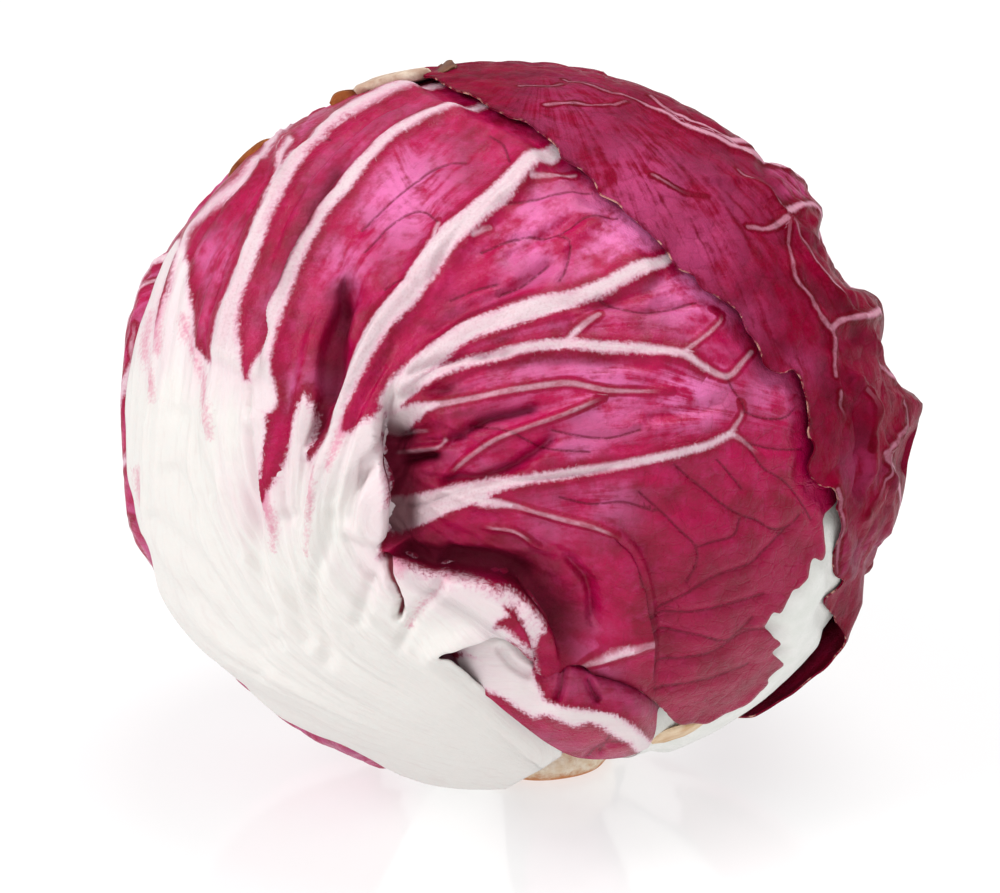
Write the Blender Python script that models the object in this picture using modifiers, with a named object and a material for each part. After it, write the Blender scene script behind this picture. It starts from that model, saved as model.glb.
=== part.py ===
"""A round head of radicchio, as picked: a cut stem, a tight heart and the outer leaves lapped round it.

Every leaf starts as a flat blade, cut to its outline and split into triangles along its ribs. It is
then laid on the round of the head and given its thickness. The leaves have a fixed order from the
outside in, and each one sinks under those above it. Lengths are in millimetres until a mesh is made.

The origin is the middle of the stem's cut face, +Z is up and -Y faces the viewer.
"""
import math

import bmesh
import bpy
import numpy as np
from mathutils import Vector
from mathutils.geometry import delaunay_2d_cdt

MILLIMETRE = 0.001

# Driving dimensions of the head
HEAD_HALF = np.array((62.2, 62.2, 57.1))
HEAD_CENTRE = np.array((-4.5, 0.5, 57.3))
HEAD_RADIUS = 60.0
HEART_HALF = np.array((50.0, 50.0, 44.0))
STEM_CUT_RADIUS = 11.5
STEM_RADIUS = 12.8
STEM_SHOULDER = 4.0
STEM_HEIGHT = 12.9
NECK_RADIUS = 14.2
NECK_CLEAR = 13.5

# How the leaves lie over each other
LEAF_THICKNESS = 0.95
LEAF_GAP = 1.9
COVER_PAD = 11.0
COVER_FADE = 11.0
FLOOR_CLEAR = 0.3

# How finely the blades are split
EDGE_STEP = 6.0
RIB_STEP = 6.5
FOLD_STEP = 3.5
LEAST_SPACING = 1.9

# The view in which the leaves' outlines were read: pixels of a picture 1000 wide and 893 high
VIEW_TILT = math.radians(18.0)
VIEW_DISTANCE = 600.0
VIEW_PIXEL = 36.0 / 135.0 / 1000.0
VIEW_MIDDLE = np.array((500.0, 446.5))
HEAD_PIXEL = np.array((512.0, 422.0))


def unit(vectors):
    """Vectors scaled to length 1."""
    vectors = np.asarray(vectors, float)
    return vectors / np.linalg.norm(vectors, axis=-1, keepdims=True)


def seen(*pixels):
    """Directions from the head's centre to the points of its surface that the view shows there."""
    pixels = np.array(pixels, float)
    right = np.array((1.0, 0.0, 0.0))
    back = np.array((0.0, -math.cos(VIEW_TILT), math.sin(VIEW_TILT)))
    up = np.array((0.0, math.sin(VIEW_TILT), math.cos(VIEW_TILT)))
    aim = (VIEW_MIDDLE - HEAD_PIXEL) * VIEW_PIXEL * VIEW_DISTANCE
    eye = (back * VIEW_DISTANCE + right * aim[0] - up * aim[1]) / HEAD_HALF
    across = (pixels[:, 0:1] - VIEW_MIDDLE[0]) * VIEW_PIXEL
    down = (pixels[:, 1:2] - VIEW_MIDDLE[1]) * VIEW_PIXEL
    rays = (right * across - up * down - back) / HEAD_HALF
    a = (rays * rays).sum(1)
    b = (rays * eye).sum(1)
    c = (eye * eye).sum() - 1.0
    root = np.sqrt(np.maximum(b * b - a * c, 0.0))
    return unit(eye + rays * ((-b - root) / a)[:, None])


def polar(*angles):
    """Directions by azimuth and elevation in degrees: azimuth 0 faces the viewer, 90 is to the right."""
    azimuth, elevation = np.radians(np.array(angles, float)).T
    flat = np.cos(elevation)
    return np.stack((flat * np.sin(azimuth), -flat * np.cos(azimuth), np.sin(elevation)), 1)


def under(*places):
    """Directions to points of the head's underside, by x and y in millimetres from the stem's middle."""
    x, y = ((np.array(places, float) - HEAD_CENTRE[:2]) / HEAD_HALF[:2]).T
    return np.stack((x, y, -np.sqrt(1.0 - x * x - y * y)), 1)


def neck(*azimuths):
    """Directions to points round the stem, where a leaf grows out of it."""
    turn = np.radians(np.array(azimuths, float))
    return under(*np.stack((NECK_RADIUS * np.sin(turn), -NECK_RADIUS * np.cos(turn)), 1))


def path(*parts):
    """One list of directions out of several."""
    return np.concatenate(parts)


def curve_point(points, knots, t):
    """The point at knot value t of the smooth curve through four points, between the middle two."""
    def mixed(p, q, start, end):
        return (p * (end - t) + q * (t - start)) / (end - start)

    first = [mixed(points[j], points[j + 1], knots[j], knots[j + 1]) for j in range(3)]
    second = [mixed(first[j], first[j + 1], knots[j], knots[j + 2]) for j in range(2)]
    return mixed(second[0], second[1], knots[1], knots[2])


def traced(points, step, closed=False):
    """A smooth line through points, with more of them wherever two lie further apart than step."""
    count = len(points)
    line = []
    for i in range(count if closed else count - 1):
        start, end = points[i], points[(i + 1) % count]
        before = points[(i - 1) % count] if closed or i > 0 else 2 * start - end
        after = points[(i + 2) % count] if closed or i + 2 < count else 2 * end - start
        four = (before, start, end, after)
        spans = [math.sqrt(max(np.linalg.norm(four[j + 1] - four[j]), 1e-9)) for j in range(3)]
        knots = np.cumsum([0.0] + spans)
        pieces = max(1, math.ceil(np.linalg.norm(end - start) / step))
        line += [curve_point(four, knots, knots[1] + spans[1] * k / pieces) for k in range(pieces)]
    if not closed:
        line.append(points[-1])
    return np.array(line)


def smooth(x):
    """0 to 1 with level ends."""
    x = np.clip(x, 0.0, 1.0)
    return x * x * (3.0 - 2.0 * x)


def from_line(points, line, closed=False):
    """Distance to a line, the side on which a point lies (left is +1), and how far along it is."""
    start = line if closed else line[:-1]
    end = np.roll(line, -1, 0) if closed else line[1:]
    edge = end - start
    length = np.linalg.norm(edge, axis=1)
    offset = points[:, None, :] - start[None]
    share = np.clip((offset * edge).sum(2) / length ** 2, 0.0, 1.0)
    gap = offset - share[..., None] * edge
    distance = np.linalg.norm(gap, axis=2)
    nearest = distance.argmin(1)
    rows = np.arange(len(points))
    side = np.sign(edge[nearest, 0] * offset[rows, nearest, 1] - edge[nearest, 1] * offset[rows, nearest, 0])
    along = np.concatenate(((0.0,), np.cumsum(length)))[nearest] + share[rows, nearest] * length[nearest]
    return distance[rows, nearest], side, along / length.sum()


def inside(points, loop):
    """Which points lie inside a closed loop."""
    x, y = points[:, 0:1], points[:, 1:2]
    x0, y0 = loop.T
    x1, y1 = np.roll(loop, -1, 0).T
    spans = (y0 > y) != (y1 > y)
    with np.errstate(divide="ignore", invalid="ignore"):
        crossing = spans & (x < (x1 - x0) * (y - y0) / (y1 - y0) + x0)
    return crossing.sum(1) % 2 == 1


class Chart:
    """The head's surface round one direction, laid flat with true distances from the middle."""

    def __init__(self, middle):
        self.middle = unit(middle)
        self.east = unit(np.cross((0.0, 0.0, 1.0), self.middle))
        self.north = np.cross(self.middle, self.east)

    def flat(self, directions):
        x, y, z = directions @ self.east, directions @ self.north, directions @ self.middle
        reach = np.hypot(x, y)
        scale = HEAD_RADIUS * np.arctan2(reach, z) / np.maximum(reach, 1e-9)
        return np.stack((x * scale, y * scale), 1)

    def bent(self, points):
        reach = np.linalg.norm(points, axis=1, keepdims=True)
        angle = reach / HEAD_RADIUS
        out = points / np.maximum(reach, 1e-9)
        return (np.sin(angle) * (out[:, 0:1] * self.east + out[:, 1:2] * self.north)
                + np.cos(angle) * self.middle)


class Rib:
    """A raised rib: its line from the stem out, its half width and height at the start, and its taper."""

    def __init__(self, line, half_width, height, taper=0.35):
        self.line = line
        self.half_width = half_width
        self.height = height
        self.taper = taper

    def rise(self, points, chart):
        distance, _, along = from_line(points, traced(chart.flat(self.line), RIB_STEP))
        size = 1.0 + (self.taper - 1.0) * along
        return self.height * size * np.exp(-(distance / (self.half_width * size)) ** 2)


class Fold:
    """A crease: the blade drops on the right of its line and comes back up over a run."""

    def __init__(self, line, drop, run, foot=2.6):
        self.line = line
        self.drop = drop
        self.run = run
        self.foot = foot

    def rise(self, points, chart):
        distance, side, along = from_line(points, traced(chart.flat(self.line), RIB_STEP))
        ends = smooth(along * 5.0) * smooth((1.0 - along) * 5.0)
        depth = smooth(distance / self.foot) * np.exp(-(distance / self.run) ** 2)
        return np.where(side < 0.0, -self.drop * ends * depth, 0.0)


class Mound:
    """A crumple that stands out of the blade."""

    def __init__(self, middle, spread, height):
        self.middle = middle[0]
        self.spread = spread
        self.height = height

    def swell(self, directions):
        distance = np.linalg.norm(directions - self.middle, axis=1) * HEAD_RADIUS
        return self.height * np.exp(-(distance / self.spread) ** 2)


class Leaf:
    """A leaf of the head: its outline and what stands out of its blade."""

    def __init__(self, name, middle, outline, colour, ribs=(), folds=(), mounds=(), mesh_step=9.5,
                 stands=False, sunk=0.0, pad=COVER_PAD, fade=COVER_FADE):
        self.name = name
        self.chart = Chart(middle[0])
        self.loop = traced(self.chart.flat(outline), EDGE_STEP, closed=True)
        self.colour = colour
        self.ribs = ribs
        self.folds = folds
        self.mounds = mounds
        self.mesh_step = mesh_step
        self.stands = stands
        self.sunk = sunk
        self.pad = pad
        self.fade = fade

    def cover(self, directions, pad, fade):
        """1 under the leaf and as far as pad beyond its edge, then down to 0 over the fade."""
        points = self.chart.flat(directions)
        distance = from_line(points, self.loop, closed=True)[0]
        distance = np.where(inside(points, self.loop), distance, -distance)
        return smooth((distance + pad + fade) / fade)


# The form that all leaves share: drawn in round the stem, full at the front where the head touches down
SHARED_FORM = (
    Mound(under((0.0, 0.0)), 20.0, -3.6),
    Mound(under((-12.0, -12.5)), 14.0, 5.2),
)


def head_form(directions):
    """How far the head stands out from its plain round form."""
    return sum(mound.swell(directions) for mound in SHARED_FORM)


def on_head(directions, height):
    """Points of the head's surface, raised by height along its normal."""
    normal = unit(directions / HEAD_HALF)
    return HEAD_CENTRE + directions * HEAD_HALF + normal * height[:, None]


CRIMSON = (0.30, 0.012, 0.075)
MAGENTA = (0.42, 0.020, 0.110)
PALE = (0.80, 0.74, 0.70)
BEIGE = (0.62, 0.50, 0.33)


def leaf_right():
    """The outermost leaf. It wraps the right side and the top, and its toothed edge crosses the front."""
    outline = path(
        neck(48.0),
        seen((752, 717), (777, 699), (801, 681), (819, 662), (833, 640), (836, 619), (829, 603), (847, 585),
             (840, 576), (840, 538), (837, 510), (829, 487)),
        seen((820, 486), (809, 469), (813, 445), (807, 433), (809, 422), (807, 400), (801, 384), (791, 369),
             (783, 373), (771, 370), (764, 363), (758, 347), (746, 331), (736, 312), (720, 299), (702, 289),
             (692, 275), (675, 266), (669, 254), (659, 244), (645, 230), (637, 220), (626, 213), (616, 203),
             (600, 193), (594, 181), (580, 169), (563, 160), (553, 144), (543, 135), (522, 122), (500, 113),
             (492, 110), (480, 101), (459, 93), (439, 81), (420, 75)),
        polar((-158, 60), (-172, 50), (170, 42), (158, 28), (148, 10), (140, -12), (133, -34), (128, -54)),
        neck(132.0, 105.0, 75.0))
    ribs = (
        Rib(path(neck(98.0), polar((98, -44), (101, -8), (106, 24)),
                 seen((750, 153), (700, 127), (640, 95), (585, 79), (545, 71))), 3.0, 2.0),
        Rib(path(polar((100, -20), (84, 2)), seen((842, 300), (811, 262), (791, 228), (770, 200))), 2.2, 1.4),
        Rib(path(polar((99, -32), (76, -14)), seen((880, 440), (866, 400), (840, 396), (835, 340))), 2.2, 1.4),
        Rib(path(polar((104, 14),), seen((818, 240), (783, 216), (753, 184), (700, 180))), 2.0, 1.3),
        Rib(path(polar((104, 2), (120, 18), (132, 34))), 2.2, 1.4),
        Rib(path(polar((101, -18), (118, -8), (132, 8))), 2.2, 1.4))
    mounds = (
        Mound(seen((800, 190)), 6.0, 2.6), Mound(seen((856, 290)), 6.5, 2.8), Mound(seen((862, 318)), 5.0, 1.4),
        Mound(seen((905, 400)), 8.0, 4.2), Mound(seen((876, 400)), 5.0, 1.6), Mound(seen((896, 450)), 7.0, 3.0),
        Mound(seen((880, 520)), 8.0, 2.4), Mound(seen((860, 600)), 7.5, 2.6), Mound(seen((838, 650)), 6.0, 2.0),
        Mound(polar((112, 0)), 10.0, 1.8), Mound(polar((124, 24)), 9.0, 1.6), Mound(polar((118, -28)), 9.0, 1.6))
    return Leaf("leaf_right", polar((78, 20)), outline, CRIMSON, ribs, mounds=mounds)


def leaf_front():
    """The big leaf of the view: a swollen white base, eight ribs and the pleat they run out of."""
    outline = path(
        neck(22.0),
        seen((562, 757), (545, 742), (515, 720), (487, 697), (471, 681), (452, 661), (436, 640), (415, 612),
             (401, 592), (389, 571), (380, 546), (398, 530), (428, 532), (462, 548), (490, 560), (516, 564),
             (546, 580), (566, 598), (586, 626), (596, 648), (616, 660), (652, 674), (672, 694), (676, 722)),
        seen((687, 723), (706, 721), (722, 713), (742, 703), (765, 682), (767, 676), (781, 664), (771, 650),
             (778, 642), (771, 635), (765, 623), (771, 611), (779, 611), (791, 589), (797, 586), (806, 576),
             (812, 558), (821, 559), (824, 520), (829, 518)),
        seen((852, 492), (866, 440), (858, 380), (826, 320), (780, 268), (730, 220), (680, 178), (620, 132),
             (560, 96), (500, 74)),
        seen((450, 64), (400, 73), (345, 91), (300, 113), (262, 139), (222, 173), (190, 214), (166, 255),
             (149, 300), (136, 345), (128, 400), (127, 450), (133, 505), (145, 560), (163, 602), (197, 645),
             (242, 687), (292, 722), (345, 745)),
        neck(-70.0, -45.0, -15.0, 5.0))
    base = ((540, 772), (536, 768), (532, 762), (528, 756))
    ribs = (
        Rib(seen(base[0], (420, 744), (300, 694), (205, 630), (160, 545), (160, 400), (182, 262), (214, 211),
                 (255, 165)), 2.8, 1.3),
        Rib(seen(base[1], (430, 720), (330, 660), (258, 570), (215, 450), (215, 330), (240, 280), (275, 193),
                 (304, 154), (345, 118), (414, 84)), 3.0, 1.8),
        Rib(seen(base[2], (440, 700), (350, 640), (288, 555), (262, 420), (273, 326), (296, 275), (320, 230),
                 (349, 191), (382, 154), (420, 128), (477, 101)), 2.6, 1.5),
        Rib(seen(base[3], (450, 690), (370, 625), (312, 565), (296, 510), (312, 466), (345, 400), (400, 305),
                 (441, 244), (482, 209), (522, 179), (560, 146)), 3.2, 2.2),
        Rib(seen((388, 400), (441, 346), (486, 322), (543, 303), (584, 295), (614, 279), (668, 249)), 2.4, 1.5),
        Rib(seen((390, 406), (421, 382), (462, 361), (523, 347), (584, 345), (645, 349), (686, 357),
                 (730, 375), (762, 362)), 2.0, 1.4),
        Rib(seen((396, 510), (431, 496), (502, 480), (564, 473), (625, 463), (700, 445), (736, 432)), 2.4, 1.5),
        Rib(seen((480, 502), (520, 510), (564, 520), (612, 534)), 2.0, 1.0))
    folds = (
        Fold(seen((382, 548), (388, 509), (386, 480), (378, 450), (382, 424),
                  (390, 396), (410, 370), (436, 350)), 4.6, 13.0),
        Fold(seen((300, 492), (314, 433), (319, 398), (322, 352), (330, 310), (342, 270)), 2.0, 5.0),
        Fold(seen((262, 380), (250, 330), (262, 290), (282, 240)), 1.2, 5.0),
        Fold(seen((590, 660), (574, 632), (555, 607), (520, 580), (470, 562), (420, 546), (384, 546)), 3.6, 12.0))
    mounds = (Mound(seen((632, 610)), 6.0, 1.4), Mound(seen((620, 560)), 6.0, 1.0),
              Mound(seen((360, 520)), 7.0, 1.4), Mound(seen((352, 430)), 5.0, 1.0))
    return Leaf("leaf_front", seen((430, 430)), outline, MAGENTA, ribs, folds, mounds, mesh_step=8.8,
                stands=True)


def leaf_small():
    """A small leaf by the stem, deep under the front leaf, which rolls out through its notch."""
    outline = path(
        neck(58.0),
        seen((662, 754), (684, 740), (686, 718), (676, 692), (650, 674), (608, 656), (584, 640), (572, 612),
             (548, 586), (520, 566), (488, 552), (450, 540), (412, 528), (372, 536), (366, 570), (380, 630),
             (416, 676), (456, 710), (504, 742)),
        neck(0.0, 20.0))
    ribs = (
        Rib(seen((398, 566), (425, 584), (456, 600), (486, 606), (512, 622), (528, 648), (538, 676)), 3.0, 6.4, 0.8),
        Rib(seen((560, 750), (548, 712), (576, 704), (612, 712), (644, 722)), 2.8, 5.6, 0.9),
        Rib(seen((545, 752), (505, 712), (475, 680), (452, 650)), 2.4, 2.0, 0.7))
    return Leaf("leaf_small", seen((520, 660)), outline, MAGENTA, ribs, mesh_step=4.2, sunk=4.4, pad=1.0,
                fade=2.5)


def leaf_left():
    """The leaf behind the front one on the left, over the left part of the back."""
    outline = path(
        neck(-36.0),
        polar((-34, -62), (-42, -48), (-54, -30), (-62, -10), (-63, 18), (-70, 42), (-84, 58), (-108, 66), (-132, 62),
              (-148, 52), (-152, 44), (-160, 36), (-158, 28), (-165, 18), (-163, 10), (-168, 0), (-165, -9),
              (-169, -18), (-165, -27), (-167, -36), (-162, -46), (-158, -56)),
        neck(-150.0, -125.0, -100.0, -75.0))
    ribs = (
        Rib(path(neck(-104.0), polar((-106, -50), (-110, -20), (-114, 12), (-120, 40), (-124, 54))), 3.4, 2.6),
        Rib(polar((-106, -46), (-88, -22), (-80, 8), (-82, 34)), 2.4, 1.6),
        Rib(polar((-107, -40), (-130, -24), (-144, -4), (-152, 18)), 2.4, 1.7),
        Rib(polar((-109, -24), (-130, -2), (-140, 20), (-144, 38)), 2.3, 1.6),
        Rib(polar((-112, 0), (-98, 20), (-94, 42)), 2.2, 1.4),
        Rib(polar((-107, -48), (-134, -40), (-152, -28), (-162, -16)), 2.3, 1.5))
    mounds = (
        Mound(seen((128, 300)), 9.0, 1.0), Mound(seen((124, 400)), 9.0, 1.2), Mound(seen((128, 500)), 9.0, 1.0),
        Mound(seen((290, 732)), 7.0, 1.4), Mound(polar((-140, 10)), 10.0, 1.4), Mound(polar((-152, 40)), 8.0, 1.2))
    return Leaf("leaf_left", polar((-112, 0)), outline, MAGENTA, ribs, mounds=mounds, mesh_step=9.5)


def leaf_back():
    """The leaf up the back of the head. Its edge laps over the crown."""
    outline = path(
        neck(120.0),
        polar((116, -50), (112, -28), (111, 0), (114, 24), (124, 46), (142, 62), (166, 72), (-160, 78),
              (-120, 80), (-92, 74), (-92, 66), (-104, 60), (-118, 50), (-134, 32), (-140, 8), (-140, -18),
              (-138, -42)),
        neck(-140.0, -170.0, 150.0))
    ribs = (
        Rib(path(neck(178.0), polar((178, -48), (176, -16), (178, 18), (-178, 48), (-165, 66))), 3.4, 2.6),
        Rib(polar((178, -44), (160, -24), (150, 4), (146, 30)), 2.4, 1.7),
        Rib(polar((178, -30), (-162, -8), (-152, 16)), 2.3, 1.6),
        Rib(polar((177, -8), (162, 18), (156, 42)), 2.3, 1.6),
        Rib(polar((-174, 22), (-164, 38), (-150, 52)), 2.2, 1.4))
    mounds = (Mound(polar((-176, 60)), 9.0, 1.2), Mound(polar((165, 10)), 10.0, 1.0))
    return Leaf("leaf_back", polar((178, 12)), outline, CRIMSON, ribs, mounds=mounds, mesh_step=9.5)


def leaf_lower_right():
    """The pale leaf that shows low on the right, between the front leaf and the outermost one."""
    outline = path(
        neck(64.0),
        seen((706, 740), (700, 700), (692, 610), (712, 530), (766, 450)),
        polar((64, 2), (78, -4), (92, -14), (98, -34), (94, -52)),
        neck(98.0, 80.0))
    ribs = (
        Rib(path(neck(76.0), seen((736, 722), (778, 660), (803, 592), (814, 530))), 3.2, 1.6),
        Rib(path(neck(88.0), seen((790, 690), (830, 620), (845, 550))), 2.6, 1.0))
    return Leaf("leaf_lower_right", seen((745, 600)), outline, PALE, ribs, mesh_step=9.0)


def leaf_crown():
    """The inner leaf that closes the crown, with its foot at the stem under the leaf of the back."""
    outline = path(
        neck(-166.0),
        polar((-162, -50), (-158, -20), (-150, 10), (-130, 32), (-100, 44), (-64, 52), (-20, 62), (40, 68),
              (90, 60), (130, 46), (158, 24), (172, -8), (174, -40)),
        neck(172.0, 185.0))
    ribs = (
        Rib(path(neck(-176.0), polar((-176, -44), (-174, -8), (-172, 28), (-168, 58), (-120, 82))), 3.6, 1.0),)
    return Leaf("leaf_crown", polar((178, 58)), outline, PALE, ribs, mesh_step=10.0)


def blade_points(leaf):
    """Points of the flat blade, and the edges it keeps: its outline, ribs and folds, with a net between."""
    def clear_of(fresh, points, clear):
        """Which fresh points lie inside the outline and clear of it and of the points so far."""
        edge = from_line(fresh, leaf.loop, closed=True)[0]
        near = np.linalg.norm(fresh[:, None] - points[None], axis=2).min(1)
        return inside(fresh, leaf.loop) & (edge > clear) & (near > clear)

    points = leaf.loop
    edges = [(i, (i + 1) % len(points)) for i in range(len(points))]
    ridges = [(rib.line, (0.0, -1.3 * rib.half_width, 1.3 * rib.half_width), RIB_STEP) for rib in leaf.ribs]
    creases = [(fold.line, (0.0, -fold.foot), FOLD_STEP) for fold in leaf.folds]
    for line, offsets, step in creases + ridges:
        middle = traced(leaf.chart.flat(line), step)
        along = np.gradient(middle, axis=0)
        left = unit(np.stack((-along[:, 1], along[:, 0]), 1))
        for offset in offsets:
            fresh = middle + left * offset
            keep = clear_of(fresh, points, LEAST_SPACING)
            index = len(points) + np.cumsum(keep) - 1
            if offset == 0.0:
                edges += [(index[i], index[i + 1]) for i in range(len(fresh) - 1) if keep[i] and keep[i + 1]]
            points = np.concatenate((points, fresh[keep]))
    step = leaf.mesh_step
    low, high = leaf.loop.min(0), leaf.loop.max(0)
    columns = np.arange(low[0], high[0], step)
    rows = np.arange(low[1], high[1], step * math.sqrt(0.75))
    net = np.array([(x + (0.5 * step if k % 2 else 0.0), y) for k, y in enumerate(rows) for x in columns])
    return np.concatenate((points, net[clear_of(net, points, 0.62 * step)])), edges


def leaf_mesh(leaf, above):
    """The leaf's blade on the head, under the leaves that lie above it."""
    flat, edges = blade_points(leaf)
    edges = [(int(start), int(end)) for start, end in edges]
    found, _, faces = delaunay_2d_cdt([Vector(p) for p in flat], edges, [], 1, 1e-4)[:3]
    flat = np.array([tuple(p) for p in found])
    directions = leaf.chart.bent(flat)
    covers = [other.cover(directions, leaf.pad, leaf.fade) for other in above]
    bare = 1.0 - np.max(covers, axis=0) if covers else np.ones(len(flat))
    relief = np.zeros(len(flat))
    for fold in leaf.folds:
        relief = np.minimum(relief, fold.rise(flat, leaf.chart))
    relief += np.max([rib.rise(flat, leaf.chart) for rib in leaf.ribs], axis=0)
    relief += sum((mound.swell(directions) for mound in leaf.mounds), np.zeros(len(flat)))
    buried = sum(covers, np.zeros(len(flat)))
    height = head_form(directions) - leaf.sunk - LEAF_GAP * buried + bare * relief
    points = on_head(directions, height)
    reach = np.linalg.norm(points[:, :2], axis=1)
    low = points[:, 2] < HEAD_CENTRE[2]
    push = np.where(low, np.maximum(NECK_CLEAR / reach, 1.0), 1.0)
    points[:, :2] *= push[:, None]
    floor = (0.0 if leaf.stands else FLOOR_CLEAR) + LEAF_GAP * buried
    points[:, 2] = np.maximum(points[:, 2], floor)
    mesh = bpy.data.meshes.new(leaf.name)
    build = bmesh.new()
    corners = [build.verts.new(p * MILLIMETRE) for p in points]
    for face in faces:
        build.faces.new([corners[i] for i in face])
    bmesh.ops.delete(build, geom=[v for v in build.verts if not v.link_faces], context="VERTS")
    build.normal_update()
    if sum(f.normal.dot(f.calc_center_median() - Vector(HEAD_CENTRE * MILLIMETRE)) for f in build.faces) < 0.0:
        bmesh.ops.reverse_faces(build, faces=build.faces)
    build.to_mesh(mesh)
    build.free()
    return mesh


def material(name, colour, roughness):
    """A plain finish."""
    made = bpy.data.materials.new(name)
    made.use_nodes = True
    shader = made.node_tree.nodes["Principled BSDF"]
    shader.inputs["Base Color"].default_value = (*colour, 1.0)
    shader.inputs["Roughness"].default_value = roughness
    shader.inputs["Metallic"].default_value = 0.0
    return made


def placed(name, mesh, collection, finish):
    """An object of a mesh, in the head's collection."""
    thing = bpy.data.objects.new(name, mesh)
    collection.objects.link(thing)
    mesh.materials.append(finish)
    mesh.shade_smooth()
    return thing


def add_leaf(leaf, above, collection):
    """A leaf of even thickness."""
    thing = placed(leaf.name, leaf_mesh(leaf, above), collection, material(leaf.name, leaf.colour, 0.42))
    shell = thing.modifiers.new("thickness", "SOLIDIFY")
    shell.thickness = LEAF_THICKNESS * MILLIMETRE
    shell.offset = -1.0
    split = thing.modifiers.new("triangles", "TRIANGULATE")
    split.quad_method = "FIXED"


def add_stem(collection):
    """The stub of the stem, turned, with its cut face down."""
    profile = ((0.0, STEM_HEIGHT), (9.0, STEM_HEIGHT), (11.6, STEM_HEIGHT - 1.6), (STEM_RADIUS, STEM_HEIGHT - 5.4),
               (STEM_RADIUS, STEM_SHOULDER), (STEM_CUT_RADIUS + 0.5, 0.8), (STEM_CUT_RADIUS, 0.0), (0.0, 0.0))
    mesh = bpy.data.meshes.new("stem")
    mesh.from_pydata([(r * MILLIMETRE, 0.0, z * MILLIMETRE) for r, z in profile],
                     [(i, i + 1) for i in range(len(profile) - 1)], [])
    stem = placed("stem", mesh, collection, material("stem", BEIGE, 0.7))
    turned = stem.modifiers.new("turned", "SCREW")
    turned.steps = turned.render_steps = 28
    turned.use_merge_vertices = True
    turned.merge_threshold = 0.00001
    turned.use_smooth_shade = True


def add_heart(collection):
    """The tight inside of the head: leaves lapped in steps over a core, all of one piece."""
    build = bmesh.new()
    bmesh.ops.create_uvsphere(build, u_segments=34, v_segments=20, radius=1.0)
    directions = unit(np.array([tuple(v.co) for v in build.verts]))
    step = np.zeros(len(directions))
    for k in range(7):
        middle = polar((137.5 * k + 20.0, 38.0 - 3.0 * k))[0]
        angle = np.degrees(np.arccos(np.clip(directions @ middle, -1.0, 1.0)))
        step = np.maximum(step, (0.5 + 0.16 * k) * smooth((66.0 - angle) / 9.0))
    points = HEAD_CENTRE + directions * (HEART_HALF + step[:, None] - 1.2)
    for vertex, point in zip(build.verts, points):
        vertex.co = Vector(point * MILLIMETRE)
    mesh = bpy.data.meshes.new("heart")
    build.to_mesh(mesh)
    build.free()
    placed("heart", mesh, collection, material("heart", PALE, 0.5))


def main():
    for old in list(bpy.data.objects):
        bpy.data.objects.remove(old)
    collection = bpy.data.collections.new("radicchio")
    bpy.context.scene.collection.children.link(collection)
    above = []
    for leaf in (leaf_right(), leaf_front(), leaf_left(), leaf_back(), leaf_small(), leaf_lower_right(),
                 leaf_crown()):
        add_leaf(leaf, list(above), collection)
        above.append(leaf)
    add_heart(collection)
    add_stem(collection)


main()
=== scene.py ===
"""The looks of a round head of radicchio: fine leaf blades with ribs, creases, pleats and torn edges.

Every blade is drawn flat on a chart of the head's round, split into fine triangles, and laid on the head
with its relief. What its finish needs to know, such as how far away the next vein is, goes with the mesh.
Lengths are in millimetres until a mesh is made. Features that were read from the view are in its pixels.
"""
import copy
import math

import bmesh
import bpy
import numpy as np
from mathutils import Matrix, Vector
from mathutils.geometry import delaunay_2d_cdt
from mathutils.kdtree import KDTree


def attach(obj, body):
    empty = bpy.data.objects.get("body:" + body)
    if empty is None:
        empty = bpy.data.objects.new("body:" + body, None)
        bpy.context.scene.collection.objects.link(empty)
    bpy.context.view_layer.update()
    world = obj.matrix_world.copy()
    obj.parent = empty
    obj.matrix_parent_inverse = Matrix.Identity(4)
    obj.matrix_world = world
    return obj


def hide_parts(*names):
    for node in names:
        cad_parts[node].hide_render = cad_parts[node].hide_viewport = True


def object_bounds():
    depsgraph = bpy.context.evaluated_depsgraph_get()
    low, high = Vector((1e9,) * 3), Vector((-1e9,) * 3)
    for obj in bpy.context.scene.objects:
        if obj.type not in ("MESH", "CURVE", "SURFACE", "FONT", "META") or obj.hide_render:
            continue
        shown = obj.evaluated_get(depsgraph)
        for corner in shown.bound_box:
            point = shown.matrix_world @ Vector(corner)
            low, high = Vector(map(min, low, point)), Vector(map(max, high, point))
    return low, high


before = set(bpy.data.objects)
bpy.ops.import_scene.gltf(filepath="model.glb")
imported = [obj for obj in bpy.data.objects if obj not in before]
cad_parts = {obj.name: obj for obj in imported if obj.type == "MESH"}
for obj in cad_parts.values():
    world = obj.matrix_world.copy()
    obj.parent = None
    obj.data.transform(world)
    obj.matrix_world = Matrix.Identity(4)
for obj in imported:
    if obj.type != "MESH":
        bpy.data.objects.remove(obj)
cad_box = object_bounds()

MILLIMETRE = 0.001

# The round of the head, as the solids have it
HEAD_HALF = np.array((62.2, 62.2, 57.1))
HEAD_CENTRE = np.array((-4.5, 0.5, 57.3))
HEAD_RADIUS = 60.0
NECK_RADIUS = 14.2
NECK_CLEAR = 13.5
FLOOR_CLEAR = 0.3

# A distance that says that nothing is near
FAR = 1e3

# How the blades lie over each other
LEAF_GAP = 1.35
COVER_PAD = 0.8
COVER_FADE = 4.0

# How thick they are, and how far round each point and in which turns the inner side keeps below the relief
THICKNESS = 0.6
RIM_THICKNESS = 0.32
RIM_WIDTH = 2.0
NEARBY_REACH = 1.1
NEARBY_TURN = 0.785

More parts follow.
